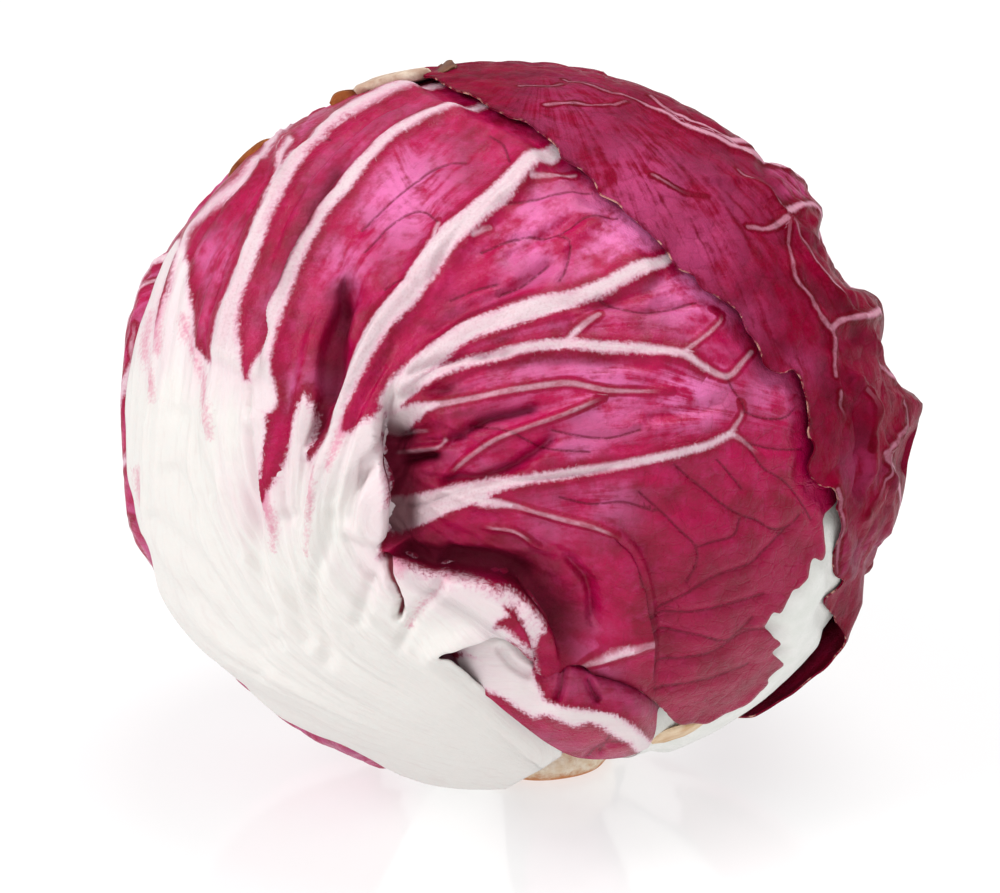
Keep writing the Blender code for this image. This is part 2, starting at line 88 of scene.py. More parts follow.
# How finely the blades are split: at the edge, in the open, beside folds and where other leaves hide them
EDGE_STEP = 0.55
FINE_STEP = 0.62
DENSE_STEP = 0.3
HIDDEN_STEP = 3.0
HIDDEN_IN = 3.0
HIDDEN_FADE = 1.0
INNER_STEP = 1.8

# The view
VIEW_TILT = math.radians(18.0)
VIEW_DISTANCE = 600.0
VIEW_SENSOR = 36.0
VIEW_LENS = 135.0
VIEW_PIXEL = VIEW_SENSOR / VIEW_LENS / 1000.0
VIEW_MIDDLE = np.array((500.0, 446.5))
HEAD_PIXEL = np.array((512.0, 422.0))
PIXEL = VIEW_PIXEL * VIEW_DISTANCE
RIGHT = np.array((1.0, 0.0, 0.0))
BACK = np.array((0.0, -math.cos(VIEW_TILT), math.sin(VIEW_TILT)))
UP = np.array((0.0, math.sin(VIEW_TILT), math.cos(VIEW_TILT)))
AIM = (VIEW_MIDDLE - HEAD_PIXEL) * PIXEL
EYE = BACK * VIEW_DISTANCE + RIGHT * AIM[0] - UP * AIM[1]


def unit(vectors):
    vectors = np.asarray(vectors, float)
    return vectors / np.maximum(np.linalg.norm(vectors, axis=-1, keepdims=True), 1e-12)


def sight(pixels):
    """The lines of sight through pixels of the view."""
    offset = (pixels - VIEW_MIDDLE) * VIEW_PIXEL
    return RIGHT * offset[..., 0:1] - UP * offset[..., 1:2] - BACK


def seen_at(pixels, lift):
    """Directions from the head's centre to what the view shows at pixels, lift above the head's surface."""
    half = HEAD_HALF + lift[:, None]
    eye = EYE / half
    rays = sight(pixels) / half
    a = (rays * rays).sum(1)
    b = (rays * eye).sum(1)
    c = (eye * eye).sum(1) - 1.0
    root = np.sqrt(np.maximum(b * b - a * c, 0.0))
    return unit(eye + rays * ((-b - root) / a)[:, None])


def seen(*pixels):
    """The same for points of the surface itself."""
    return seen_at(np.array(pixels, float)[:, :2], np.zeros(len(pixels)))


def in_view(directions):
    """The pixels at which the view shows points of the plain round head."""
    offset = directions * HEAD_HALF - EYE
    depth = -(offset @ BACK) * VIEW_PIXEL
    return VIEW_MIDDLE + np.stack((offset @ RIGHT / depth, -(offset @ UP) / depth), 1)


def unrolled(directions, facing):
    """The view's pixels, but past the limb they go on outward instead of turning back behind it."""
    past = np.arcsin((-facing / np.linalg.norm(EYE / HEAD_HALF)).clip(0.0, 0.98))
    return HEAD_PIXEL + (in_view(directions) - HEAD_PIXEL) * ((1.0 + past) / np.cos(past))[:, None]


def polar(*angles):
    """Directions by azimuth and elevation in degrees: azimuth 0 faces the viewer, 90 is to the right."""
    azimuth, elevation = np.radians(np.array(angles, float)[:, :2]).T
    flat = np.cos(elevation)
    return np.stack((flat * np.sin(azimuth), -flat * np.cos(azimuth), np.sin(elevation)), 1)


def under(*places):
    """Directions to points of the head's underside, by x and y from the stem's middle."""
    x, y = ((np.array(places, float)[:, :2] - HEAD_CENTRE[:2]) / HEAD_HALF[:2]).T
    return np.stack((x, y, -np.sqrt(np.maximum(1.0 - x * x - y * y, 0.0))), 1)


def neck(*azimuths):
    """Directions to points round the stem, where a leaf grows out of it."""
    turn = np.radians(np.array(azimuths, float))
    return under(*np.stack((NECK_RADIUS * np.sin(turn), -NECK_RADIUS * np.cos(turn)), 1))


def path(*parts):
    """One run of directions from several."""
    return np.concatenate(parts)


def curve_point(points, knots, t):
    """The point at knot value t of the smooth curve through four points, between the middle two."""
    def mixed(p, q, start, end):
        return (p * (end - t) + q * (t - start)) / (end - start)

    first = [mixed(points[j], points[j + 1], knots[j], knots[j + 1]) for j in range(3)]
    second = [mixed(first[j], first[j + 1], knots[j], knots[j + 2]) for j in range(2)]
    return mixed(second[0], second[1], knots[1], knots[2])


def traced(points, step, closed=False):
    """A smooth line through points, with more of them wherever two lie further apart than step."""
    points = np.asarray(points, float)
    count = len(points)
    line = []
    for i in range(count if closed else count - 1):
        start, end = points[i], points[(i + 1) % count]
        before = points[(i - 1) % count] if closed or i > 0 else 2 * start - end
        after = points[(i + 2) % count] if closed or i + 2 < count else 2 * end - start
        four = (before, start, end, after)
        spans = [math.sqrt(max(np.linalg.norm(four[j + 1] - four[j]), 1e-9)) for j in range(3)]
        knots = np.cumsum([0.0] + spans)
        pieces = max(1, math.ceil(np.linalg.norm(end - start) / step))
        line += [curve_point(four, knots, knots[1] + spans[1] * k / pieces) for k in range(pieces)]
    if not closed:
        line.append(points[-1])
    return np.array(line)


def smooth(x):
    x = np.clip(x, 0.0, 1.0)
    return x * x * (3.0 - 2.0 * x)


def bell(x):
    return np.exp(-np.square(x))


# With more pairs of points and edges than this, the nearest edge is found by the nearest corner
MOST_PAIRS = 4000000
ROWS_AT_ONCE = 4000


class Nearest:
    """For each point, the nearest place on a line: its distance, side, offset and place along the line."""

    def __init__(self, points, line, closed=False, reach=None):
        count = len(points)
        self.distance = np.full(count, FAR)
        self.side = np.ones(count)
        self.offset = np.full((count, 2), FAR)
        self.along = np.zeros(count)
        self.index = np.zeros(count, int)
        self.share = np.zeros(count)
        ring = np.roll(line, -1, 0) if closed else line[1:]
        start = (line if closed else line[:-1])[:, :2]
        edge = ring[:, :2] - start
        length = np.maximum(np.linalg.norm(edge, axis=1), 1e-9)
        before = np.concatenate(((0.0,), np.cumsum(length)))
        rows = np.arange(count)
        if reach is not None:
            low, high = line[:, :2].min(0) - reach, line[:, :2].max(0) + reach
            rows = rows[((points > low) & (points < high)).all(1)]
        if len(rows) * len(start) > MOST_PAIRS:
            self.search(points, rows, start, edge, length, before, closed)
            rows = rows[:0]
        for first in range(0, len(rows), ROWS_AT_ONCE):
            part = rows[first:first + ROWS_AT_ONCE]
            offset = points[part, None, :] - start[None]
            share = np.clip((offset * edge).sum(2) / length ** 2, 0.0, 1.0)
            gap = offset - share[..., None] * edge
            distance = np.einsum("ijk,ijk->ij", gap, gap)
            best = distance.argmin(1)
            pick = np.arange(len(part))
            self.distance[part] = np.sqrt(distance[pick, best])
            turn = edge[best, 0] * offset[pick, best, 1] - edge[best, 1] * offset[pick, best, 0]
            self.side[part] = np.where(turn < 0.0, -1.0, 1.0)
            self.offset[part] = gap[pick, best]
            self.along[part] = before[best] + share[pick, best] * length[best]
            self.index[part] = best
            self.share[part] = share[pick, best]
        self.length = length.sum()

    def search(self, points, rows, start, edge, length, before, closed):
        """The same by way of the line's nearest corner, for many points and a long line."""
        count = len(start)
        tree = KDTree(count)
        for i, (x, y) in enumerate(start.tolist()):
            tree.insert((x, y, 0.0), i)
        tree.balance()
        corner = np.array([tree.find((x, y, 0.0))[1] for x, y in points[rows].tolist()], int)
        found = np.full(len(rows), 1e9)
        for step in (-1, 0):
            best = (corner + step) % count if closed else np.clip(corner + step, 0, count - 1)
            offset = points[rows] - start[best]
            share = np.clip((offset * edge[best]).sum(1) / length[best] ** 2, 0.0, 1.0)
            gap = offset - share[:, None] * edge[best]
            distance = np.linalg.norm(gap, axis=1)
            nearer = distance < found
            found = np.where(nearer, distance, found)
            part = rows[nearer]
            best, share, gap, offset = best[nearer], share[nearer], gap[nearer], offset[nearer]
            self.distance[part] = distance[nearer]
            turn = edge[best, 0] * offset[:, 1] - edge[best, 1] * offset[:, 0]
            self.side[part] = np.where(turn < 0.0, -1.0, 1.0)
            self.offset[part] = gap
            self.along[part] = before[best] + share * length[best]
            self.index[part] = best
            self.share[part] = share

    def value(self, values):
        """Values given at the line's points, at the nearest place on it."""
        after = np.roll(values, -1, 0)
        return values[self.index] + (after[self.index] - values[self.index]) * self.share


def inside(points, loop):
    """Which points lie inside a closed loop."""
    x, y = points[:, 0], points[:, 1]
    odd = np.zeros(len(points), bool)
    x1, y1 = loop[-1]
    for x0, y0 in loop:
        if y0 != y1:
            spans = (y0 > y) != (y1 > y)
            odd ^= spans & (x < (x1 - x0) * (y - y0) / (y1 - y0) + x0)
        x1, y1 = x0, y0
    return odd


def depth_in(points, loop):
    """How far points lie inside a closed loop: negative outside it."""
    near = Nearest(points, loop, closed=True)
    return np.where(inside(points, loop), near.distance, -near.distance)


def lattice_value(cells, seed):
    """A number from -1 to 1 for each whole-number cell."""
    x, y, z = cells[..., 0], cells[..., 1], cells[..., 2]
    mixed = x * 73856093 ^ y * 19349663 ^ z * 83492791 ^ (seed * 9781 + 77)
    mixed = (mixed ^ (mixed >> 13)) * 1274126177
    mixed = mixed ^ (mixed >> 16)
    return (mixed & 0xffff) / 32767.5 - 1.0


def noise(points, size, seed=0):
    """Smooth noise from -1 to 1 whose bumps are about one size across. Points are 2-D or 3-D."""
    points = np.atleast_2d(points) / size
    if points.shape[1] == 2:
        points = np.column_stack((points, np.full(len(points), 0.37)))
    cell = np.floor(points).astype(np.int64)
    share = points - cell
    share = share * share * (3.0 - 2.0 * share)
    total = 0.0
    for corner in range(8):
        bit = np.array((corner & 1, corner >> 1 & 1, corner >> 2 & 1))
        weight = np.prod(np.where(bit, share, 1.0 - share), axis=1)
        total = total + weight * lattice_value(cell + bit, seed)
    return total


def rough(points, size, seed):
    """Noise with finer noise on it."""
    return sum(noise(points, size / 2 ** k, seed + k) / 2 ** k for k in range(2)) / 1.5


# How far the seeds of a net's cells stray from an even grid, from 0 to 1
NET_JITTER = 0.8


class Net:
    """A net of cells: for each point, the offset from the nearest wall between two cells."""

    def __init__(self, points, size, seed):
        points = points / size
        home = np.floor(points).astype(np.int64)
        offsets = np.array([(i, j) for i in range(-2, 3) for j in range(-2, 3)])
        cells = home[:, None, :] + offsets[None]
        three = np.concatenate((cells, np.zeros_like(cells[..., :1])), 2)
        moved = np.stack((lattice_value(three, seed), lattice_value(three, seed + 9)), 2)
        seeds = cells + 0.5 + 0.5 * NET_JITTER * moved
        reach = ((seeds - points[:, None]) ** 2).sum(2)
        best = reach.argmin(1)
        rows = np.arange(len(points))
        own = seeds[rows, best]
        span = seeds - own[:, None]
        width = np.linalg.norm(span, axis=2)
        width[rows, best] = 1e9
        wall = (reach - reach[rows, best][:, None]) / (2.0 * np.maximum(width, 1e-6))
        wall[rows, best] = 1e9
        near = wall.argmin(1)
        self.distance = wall[rows, near] * size
        self.offset = span[rows, near] / width[rows, near][:, None] * self.distance[:, None]

    def packed(self, clear=0.8):
        return with_guard(self.offset, self.distance, clear)


def with_guard(offset, distance, clear=0.8):
    """An offset to the nearest line, with a third part that keeps it long wherever no line is near."""
    return np.column_stack((offset, smooth((distance - clear) / clear) * 4.0))


def warped(flat, size, amount, seed):
    """Flat points moved by noise, which bends a net that is laid on them."""
    return flat + amount * np.stack((noise(flat, size, seed), noise(flat, size, seed + 1)), 1)


class Chart:
    """The head's surface round one direction, laid flat with true distances from the middle."""

    def __init__(self, middle):
        self.middle = unit(middle)
        self.east = unit(np.cross((0.0, 0.0, 1.0), self.middle))
        self.north = np.cross(self.middle, self.east)

    def flat(self, directions):
        x, y, z = directions @ self.east, directions @ self.north, directions @ self.middle
        reach = np.hypot(x, y)
        scale = HEAD_RADIUS * np.arctan2(reach, z) / np.maximum(reach, 1e-9)
        return np.stack((x * scale, y * scale), 1)

    def bent(self, points):
        reach = np.linalg.norm(points, axis=1, keepdims=True)
        angle = reach / HEAD_RADIUS
        out = points / np.maximum(reach, 1e-9)
        return (np.sin(angle) * (out[:, 0:1] * self.east + out[:, 1:2] * self.north)
                + np.cos(angle) * self.middle)


def swell(directions, middle, spread, height):
    """A mound that stands out of the head round one direction."""
    return height * bell(np.linalg.norm(directions - middle[0], axis=1) * HEAD_RADIUS / spread)


# The silhouette on the right, in pixels of the view, from the top to the lower right
RIGHT_LIMB = ((640, 83), (690, 107), (730, 131), (752, 147), (762, 164), (774, 165), (790, 169), (804, 180),
              (811, 194), (822, 207), (822, 216), (817, 231), (818, 246), (828, 262), (837, 277), (848, 288),
              (862, 291), (872, 299), (884, 315), (881, 328), (878, 345), (879, 358), (886, 374), (898, 385),
              (912, 394), (919, 404), (918, 416), (913, 440), (908, 462), (905, 482), (901, 503), (892, 533),
              (878, 547), (871, 560), (869, 575), (868, 606), (860, 626), (852, 642), (838, 656), (826, 673),
              (796, 698), (758, 721))

# Between which radii the plain outline is looked for, and the turns over which the silhouette fades into it
LIMB_SEARCH = (200.0, 600.0)
LIMB_FADES = (0.1, 0.06)


def limb_radius(angle):
    """Pixels from the head's middle to the plain head's outline in the view, in one direction."""
    low, high = LIMB_SEARCH
    eye = EYE / HEAD_HALF
    for _ in range(30):
        middle = 0.5 * (low + high)
        ray = sight(HEAD_PIXEL + middle * np.array((math.cos(angle), math.sin(angle)))) / HEAD_HALF
        if (ray @ eye) ** 2 > (ray @ ray) * (eye @ eye - 1.0):
            low = middle
        else:
            high = middle
    return middle


LIMB = np.array(RIGHT_LIMB, float) - HEAD_PIXEL
LIMB_TURN = np.arctan2(LIMB[:, 1], LIMB[:, 0])
LIMB_RISE = (np.hypot(*LIMB.T) - np.array([limb_radius(angle) for angle in LIMB_TURN])) * PIXEL
LIMB_RISE = np.concatenate(((0.0,), LIMB_RISE, (0.0,)))
LIMB_TURN = np.concatenate((LIMB_TURN[:1] - LIMB_FADES[0], LIMB_TURN, LIMB_TURN[-1:] + LIMB_FADES[1]))


def limb_place(directions):
    """How far the silhouette stands out beside a point, and how far the point is from the silhouette."""
    offset = in_view(directions) - HEAD_PIXEL
    rise = np.interp(np.arctan2(offset[:, 1], offset[:, 0]), LIMB_TURN, LIMB_RISE, left=0.0, right=0.0)
    normal = unit(directions / HEAD_HALF)
    away = np.arcsin(np.clip((normal * unit(EYE - directions * HEAD_HALF)).sum(1), -1.0, 1.0)) * HEAD_RADIUS
    return rise, away


def head_form(directions):
    """How far the head stands out from its round: near the stem, and where the view shows it flatter."""
    rise, away = limb_place(directions)
    room = np.minimum(rise, 0.0) + HEAD_RADIUS * (1.0 - np.cos(away / HEAD_RADIUS))
    pressed = np.where(rise < 0.0, 0.5 * (room - np.sqrt(room * room + 0.6)), 0.0)
    return (pressed + swell(directions, under((0.0, 0.0)), 20.0, -3.6)
            + swell(directions, under((-12.0, -12.5)), 14.0, 3.2))


def on_head(directions, height):
    """Points at a height above the plain round head."""
    normal = unit(directions / HEAD_HALF)
    return HEAD_CENTRE + directions * HEAD_HALF + normal * height[:, None]


BOX = np.array([list(corner) for corner in cad_box]) / MILLIMETRE
HOLD = 1.2


def held(points):
    """Points kept inside the box of the solids: what would pass its last millimetre is pressed into it."""
    for k in range(3):
        over = points[:, k] - (BOX[1, k] - HOLD)
        high = BOX[1, k] - HOLD * np.exp(-over.clip(0) / HOLD)
        points[:, k] = np.where(over > 0.0, high, points[:, k])
        if k < 2:
            short = (BOX[0, k] + HOLD) - points[:, k]
            low = BOX[0, k] + HOLD * np.exp(-short.clip(0) / HOLD)
            points[:, k] = np.where(short > 0.0, low, points[:, k])
    return points


# Half widths: a vein wider than the first counts as thick and one below the second as thin, some as both
THICK_VEIN = 0.42
THIN_VEIN = 0.8


class Veins:
    """Veins as lines of (x, y, half width), in one flat space."""

    def __init__(self, lines, step):
        self.lines = [traced(line, step) for line in lines]

    def at(self, points, reach, scale=1.0):
        """Finds the nearest veins: how far outside any and outside a thick one, and a thin one's offset.

        Points, reach and lines are in one unit, and scale makes millimetres of it.
        """
        count = len(points)
        self.clear, self.thick, self.thin = (np.full(count, FAR) for _ in range(3))
        self.half, self.thin_half = np.full(count, 0.1), np.full(count, 0.1)
        self.offset = np.full((count, 2), FAR)
        for line in self.lines:
            near = Nearest(points, line, reach=reach)
            width = near.value(line[:, 2]) * scale
            clear = near.distance * scale - width
            found = near.distance < FAR
            better = found & (clear < self.clear)
            self.clear = np.where(better, clear, self.clear)
            self.half = np.where(better, width, self.half)
            self.thick = np.where(found & (width > THICK_VEIN), np.minimum(clear, self.thick), self.thick)
            better = found & (width < THIN_VEIN) & (clear < self.thin)
            self.thin = np.where(better, clear, self.thin)
            self.thin_half = np.where(better, width, self.thin_half)
            self.offset = np.where(better[:, None], near.offset * scale, self.offset)
        return self

    def values(self):
        """What the finish reads of the veins."""
        return {"vein": with_guard(self.offset, self.thin.clip(0, None), 0.6), "vein_half": self.thin_half,
                "thick": self.thick.clip(-3.0, 8.0)}


class Blade:
    """A leaf's blade: its chart and its outline, plain and with the ragged edge of the mesh."""

    def __init__(self, name, middle, outline, ragged=0.12):
        self.name = name
        self.chart = Chart(middle[0])
        self.plain = traced(self.chart.flat(outline), 2.0, closed=True)
        loop = traced(self.chart.flat(outline), EDGE_STEP, closed=True)
        loop[:, 0] += ragged * noise(loop, 1.3, 5) + 0.6 * ragged * noise(loop, 0.6, 6)
        loop[:, 1] += ragged * noise(loop, 1.3, 7) + 0.6 * ragged * noise(loop, 0.6, 8)
        self.loop = loop

    def cover(self, directions, pad, fade):
        """1 under the leaf and as far as pad beyond its edge, then down to 0 over the fade."""
        near = directions @ self.chart.middle > -0.7
        found = np.zeros(len(directions))
        found[near] = smooth((depth_in(self.chart.flat(directions[near]), self.plain) + pad + fade) / fade)
        return found


class Surface:
    """What is known at a set of flat points of a blade: where they lie, and what covers them."""

    def __init__(self, blade, flat, above, pad, fade):
        self.flat = flat
        self.directions = blade.chart.bent(flat)
        self.facing = ((EYE - self.directions * HEAD_HALF) * (self.directions / HEAD_HALF)).sum(1)
        self.pixels = unrolled(self.directions, self.facing)
        covers = [other.cover(self.directions, pad, fade) for other in above]
        self.bare = 1.0 - np.max(covers, axis=0) if covers else np.ones(len(flat))
        self.buried = sum(covers, np.zeros(len(flat)))
        self.edge = Nearest(flat, blade.loop, closed=True).distance
        self.world = HEAD_CENTRE + self.directions * HEAD_HALF

    def moved(self, blade, step):
        """Points beside these ones, with what covers them and how they face taken over."""
        beside = copy.copy(self)
        beside.flat = self.flat + step
        beside.directions = blade.chart.bent(beside.flat)
        beside.pixels = unrolled(beside.directions, self.facing)
        beside.world = HEAD_CENTRE + beside.directions * HEAD_HALF
        return beside


def hex_net(low, high, step):
    """Points in a net of even triangles."""
    columns = np.arange(low[0], high[0], step)
    rows = np.arange(low[1], high[1], step * math.sqrt(0.75))
    x, y = np.meshgrid(columns, rows)
    x = x + np.where(np.arange(len(rows)) % 2, 0.5 * step, 0.0)[:, None]
    return np.stack((x.ravel(), y.ravel()), 1)


def split(points, loop):
    """Triangles of the blade between its outline and the points in it."""
    edges = [(i, (i + 1) % len(loop)) for i in range(len(loop))]
    corners = [Vector(p) for p in np.concatenate((loop, points))]
    found, _, faces = delaunay_2d_cdt(corners, edges, [], 1, 1e-5)[:3]
    return np.array([tuple(p) for p in found]), np.array([f for f in faces if len(f) == 3])


def new_piece(name, points, faces, values, finish):
    """A smooth object from points in millimetres, with the values that its finish reads."""
    mesh = bpy.data.meshes.new(name)
    mesh.from_pydata([tuple(p) for p in points * MILLIMETRE], [], faces.tolist())
    mesh.validate()
    for key, value in values.items():
        kind, field = ("FLOAT_VECTOR", "vector") if value.ndim == 2 else ("FLOAT", "value")
        layer = mesh.attributes.new(key, kind, "POINT")
        layer.data.foreach_set(field, value.astype(np.float32).ravel())
    mesh.shade_smooth()
    piece = bpy.data.objects.new(name, mesh)
    bpy.context.scene.collection.objects.link(piece)
    mesh.materials.append(finish)
    print(name, len(faces), "faces")
    return piece


def blade_mesh(blade, above, relief, finish, fine=FINE_STEP, dense=(), stands=False, sunk=0.0, pad=COVER_PAD,
               fade=COVER_FADE):
    """The piece for a blade. relief(surface) gives its height, sideways shift and named values."""
    low, high = blade.loop.min(0), blade.loop.max(0)

    def chosen(step, keep=None, clear=0.55):
        net = hex_net(low, high, step)
        net = net[inside(net, blade.loop)]
        if keep is not None:
            net = net[keep(net)]
        return net[Nearest(net, blade.loop, closed=True).distance > clear * step]

    def deep(points):
        directions = blade.chart.bent(points)
        cover = np.zeros(len(points))
        for other in above:
            cover = np.maximum(cover, other.cover(directions, -HIDDEN_IN, HIDDEN_FADE))
        return cover > 0.5

    def by_lines(points):
        close = np.zeros(len(points), bool)
        for line, reach in dense:
            close |= Nearest(points, line, reach=reach).distance < reach
        return close

    parts = [chosen(HIDDEN_STEP, deep), chosen(fine, lambda p: ~deep(p) & ~by_lines(p))]
    if dense:
        parts.append(chosen(DENSE_STEP, lambda p: ~deep(p) & by_lines(p)))
    flat, faces = split(np.concatenate(parts), blade.loop)
    surface = Surface(blade, flat, above, pad, fade)
    height, shift, values = relief(surface)

    def raised(found, own):
        return head_form(found.directions) - sunk - LEAF_GAP * found.buried + found.bare * own

    def settled(points, buried):
        reach_out = np.linalg.norm(points[:, :2], axis=1)
        pushed = np.maximum(NECK_CLEAR / np.maximum(reach_out, 1e-6), 1.0)
        points[:, :2] *= np.where(points[:, 2] < HEAD_CENTRE[2], pushed, 1.0)[:, None]
        points[:, 2] = np.maximum(points[:, 2], (0.0 if stands else FLOOR_CLEAR) + LEAF_GAP * buried)
        return held(points)

    directions = blade.chart.bent(flat + shift * surface.bare[:, None])
    outer = settled(on_head(directions, raised(surface, height)), surface.buried)

    # The inner side stays below the lowest relief near each of its points
    count = len(blade.loop)
    inner_flat, inner_faces = split(chosen(INNER_STEP, None, 0.8), blade.loop)
    under_side = Surface(blade, inner_flat, above, pad, fade)
    lowest = relief(under_side.moved(blade, 0.0), plain=True)[0]
    for turn in np.arange(8) * NEARBY_TURN:
        step = NEARBY_REACH * np.array((math.cos(turn), math.sin(turn)))
        lowest = np.minimum(lowest, relief(under_side.moved(blade, step), plain=True)[0])
    thin = RIM_THICKNESS + (THICKNESS - RIM_THICKNESS) * smooth(under_side.edge / RIM_WIDTH)
    inner = settled(on_head(under_side.directions, raised(under_side, lowest) - thin),
                    under_side.buried + 0.2)
    rim_normal = unit(surface.directions[:count] / HEAD_HALF)
    inner[:count] = outer[:count] - rim_normal * RIM_THICKNESS
    inner_values = relief(under_side)[2]
    ring = np.arange(count)
    after = (ring + 1) % count
    base = len(flat)
    rim = np.concatenate((np.stack((ring, ring + base, after + base), 1),
                          np.stack((ring, after + base, after), 1)))
    all_faces = np.concatenate((faces, inner_faces[:, ::-1] + base, rim))
    both = {key: np.concatenate((value, inner_values[key])) for key, value in values.items()}
    return new_piece(blade.name + "_blade", np.concatenate((outer, inner)), all_faces, both, finish)


# The leaves' outlines, as in the solids


def right_blade():
    """The outermost leaf. It wraps the right side and the top, and its toothed edge crosses the front."""
    return Blade("leaf_right", polar((78, 20)), path(
        neck(74.0), polar((66, -58)),
        seen((756, 719), (777, 699), (801, 681), (819, 662), (833, 640), (836, 619), (829, 603), (847, 585),
             (840, 576), (840, 538), (837, 510), (829, 487)),
        seen((820, 486), (809, 469), (813, 445), (807, 433), (809, 422), (807, 400), (801, 384), (791, 369),
             (783, 373), (771, 370), (764, 363), (758, 347), (746, 331), (736, 312), (720, 299), (702, 289),
             (692, 275), (675, 266), (669, 254), (659, 244), (645, 230), (637, 220), (626, 213), (616, 203),
             (600, 193), (594, 181), (580, 169), (563, 160), (553, 144), (543, 135), (522, 122), (500, 113),
             (492, 110), (480, 101), (459, 93), (439, 81), (420, 75)),
        polar((-158, 60), (-172, 50), (170, 42), (158, 28), (148, 10), (140, -12), (133, -34), (128, -54)),
        neck(132.0, 105.0, 88.0)), ragged=0.16)


def front_blade():
    """The big leaf of the view."""
    return Blade("leaf_front", seen((430, 430)), path(
        neck(-26.0),
        seen((512, 783), (530, 774), (548, 764), (562, 755), (550, 744), (534, 733), (519, 722), (505, 711),
             (488, 696), (471, 682), (453, 664), (441, 650), (460, 641), (480, 635), (497, 631), (509, 634),
             (519, 641), (526, 650), (532, 659), (535, 670), (539, 684), (548, 690), (557, 680), (566, 667),
             (582, 665), (593, 674), (610, 679), (631, 685), (648, 696), (662, 708), (676, 722)),
        seen((687, 723), (706, 721), (722, 713), (742, 703), (765, 682), (767, 676), (781, 664), (771, 650),
             (778, 642), (771, 635), (765, 623), (771, 611), (779, 611), (791, 589), (797, 586), (806, 576),
             (812, 558), (821, 559), (824, 520), (829, 518)),
        seen((852, 492), (866, 440), (858, 380), (826, 320), (780, 268), (730, 220), (680, 178), (620, 132),
             (560, 96), (500, 74)),
        seen((450, 64), (400, 73), (345, 91), (300, 113), (262, 139), (222, 173), (190, 214), (166, 255),
             (149, 300), (136, 345), (128, 400), (127, 450), (133, 505), (145, 560), (163, 602), (197, 645),
             (242, 687), (292, 722), (345, 745)),
        neck(-70.0, -50.0, -30.0)), ragged=0.1)


def small_blade():
    """The small leaf by the stem, which rolls out through the notch of the front leaf."""
    return Blade("leaf_small", seen((520, 660)), path(
        neck(58.0),
        seen((662, 754), (684, 740), (686, 718), (676, 692), (650, 680), (608, 676), (570, 672), (548, 646),
             (524, 624), (500, 612), (470, 606), (430, 604), (400, 610), (388, 628), (394, 650), (416, 676),
             (456, 710), (504, 742)),
        neck(0.0, 20.0)))


def left_blade():
    """The leaf behind the front one on the left, over the left part of the back."""
    return Blade("leaf_left", polar((-112, 0)), path(
        neck(-36.0),
        polar((-34, -62), (-42, -48), (-54, -30), (-62, -10), (-63, 18), (-70, 42), (-84, 58), (-108, 66),
              (-132, 62), (-148, 52), (-152, 44), (-160, 36), (-158, 28), (-165, 18), (-163, 10), (-168, 0),
              (-165, -9), (-169, -18), (-165, -27), (-167, -36), (-162, -46), (-158, -56)),
        neck(-150.0, -125.0, -100.0, -75.0)), ragged=0.35)


def back_blade():
    """The leaf up the back of the head."""
    return Blade("leaf_back", polar((178, 12)), path(
        neck(120.0),
        polar((116, -50), (112, -28), (111, 0), (114, 24), (124, 46), (142, 62), (166, 72), (-160, 78),
              (-120, 80), (-92, 74), (-92, 66), (-104, 60), (-118, 50), (-134, 32), (-140, 8), (-140, -18),
              (-138, -42)),
        neck(-140.0, -170.0, 150.0)), ragged=0.3)


def lower_right_blade():
    """The pale leaf that shows low on the right."""
    return Blade("leaf_lower_right", seen((745, 600)), path(
        neck(50.0),
        seen((650, 752), (656, 730), (680, 690), (692, 610), (712, 530), (766, 450)),
        polar((64, 2), (78, -4), (92, -14), (98, -34), (94, -52)),
        neck(98.0, 80.0)))


def crown_blade():
    """The inner leaf that closes the crown."""
    return Blade("leaf_crown", polar((178, 58)), path(
        neck(-166.0),
        polar((-162, -50), (-158, -20), (-150, 10), (-130, 32), (-100, 44), (-64, 52), (-20, 62), (40, 68),
              (90, 60), (130, 46), (158, 24), (172, -8), (174, -40)),
        neck(172.0, 185.0)))


# The front leaf, read from the view in pixels

FRONT_RIBS = (
    ((540, 772), (420, 744), (300, 694), (205, 630), (160, 545), (160, 400), (182, 262), (214, 211),
     (255, 165)),
    ((536, 768), (430, 720), (330, 660), (258, 570), (215, 450), (225, 360), (240, 293), (265, 222),
     (293, 168), (345, 118), (414, 84)),
    ((532, 762), (440, 700), (350, 640), (288, 555), (262, 420), (273, 340), (296, 283), (322, 226),
     (349, 187), (393, 136), (477, 100)),
    ((528, 756), (450, 690), (370, 625), (322, 565), (312, 510), (325, 466), (345, 400), (384, 325),
     (432, 264), (468, 225), (501, 195), (560, 143)),
)
FRONT_RIGHT = (
    ((386, 405), (432, 358), (499, 321), (573, 299), (640, 269), (700, 235)),
    ((384, 415), (425, 379), (494, 356), (568, 344), (642, 349), (728, 376), (790, 390)),
    ((386, 440), (450, 425), (530, 405), (608, 392), (700, 405), (800, 430)),
    ((388, 516), (440, 504), (502, 484), (625, 464), (730, 434), (810, 450)),
    ((386, 548), (440, 545), (520, 525), (620, 520), (720, 560), (800, 560)),
    ((395, 560), (470, 580), (560, 640), (620, 660), (700, 660), (780, 650)),
)
FRONT_RIB_SIZES = ((2.8, 1.6), (3.0, 2.0), (2.6, 1.8), (3.2, 2.5))

# Where the ribs start and the right part's wrinkles fan out from, the pleat's foot and a wet place
FRONT_START = np.array((540.0, 772.0))
FAN_START = np.array((330.0, 455.0))
PLEAT_FOOT = np.array((383.0, 548.0))
WET_PLACE = np.array((560.0, 585.0))

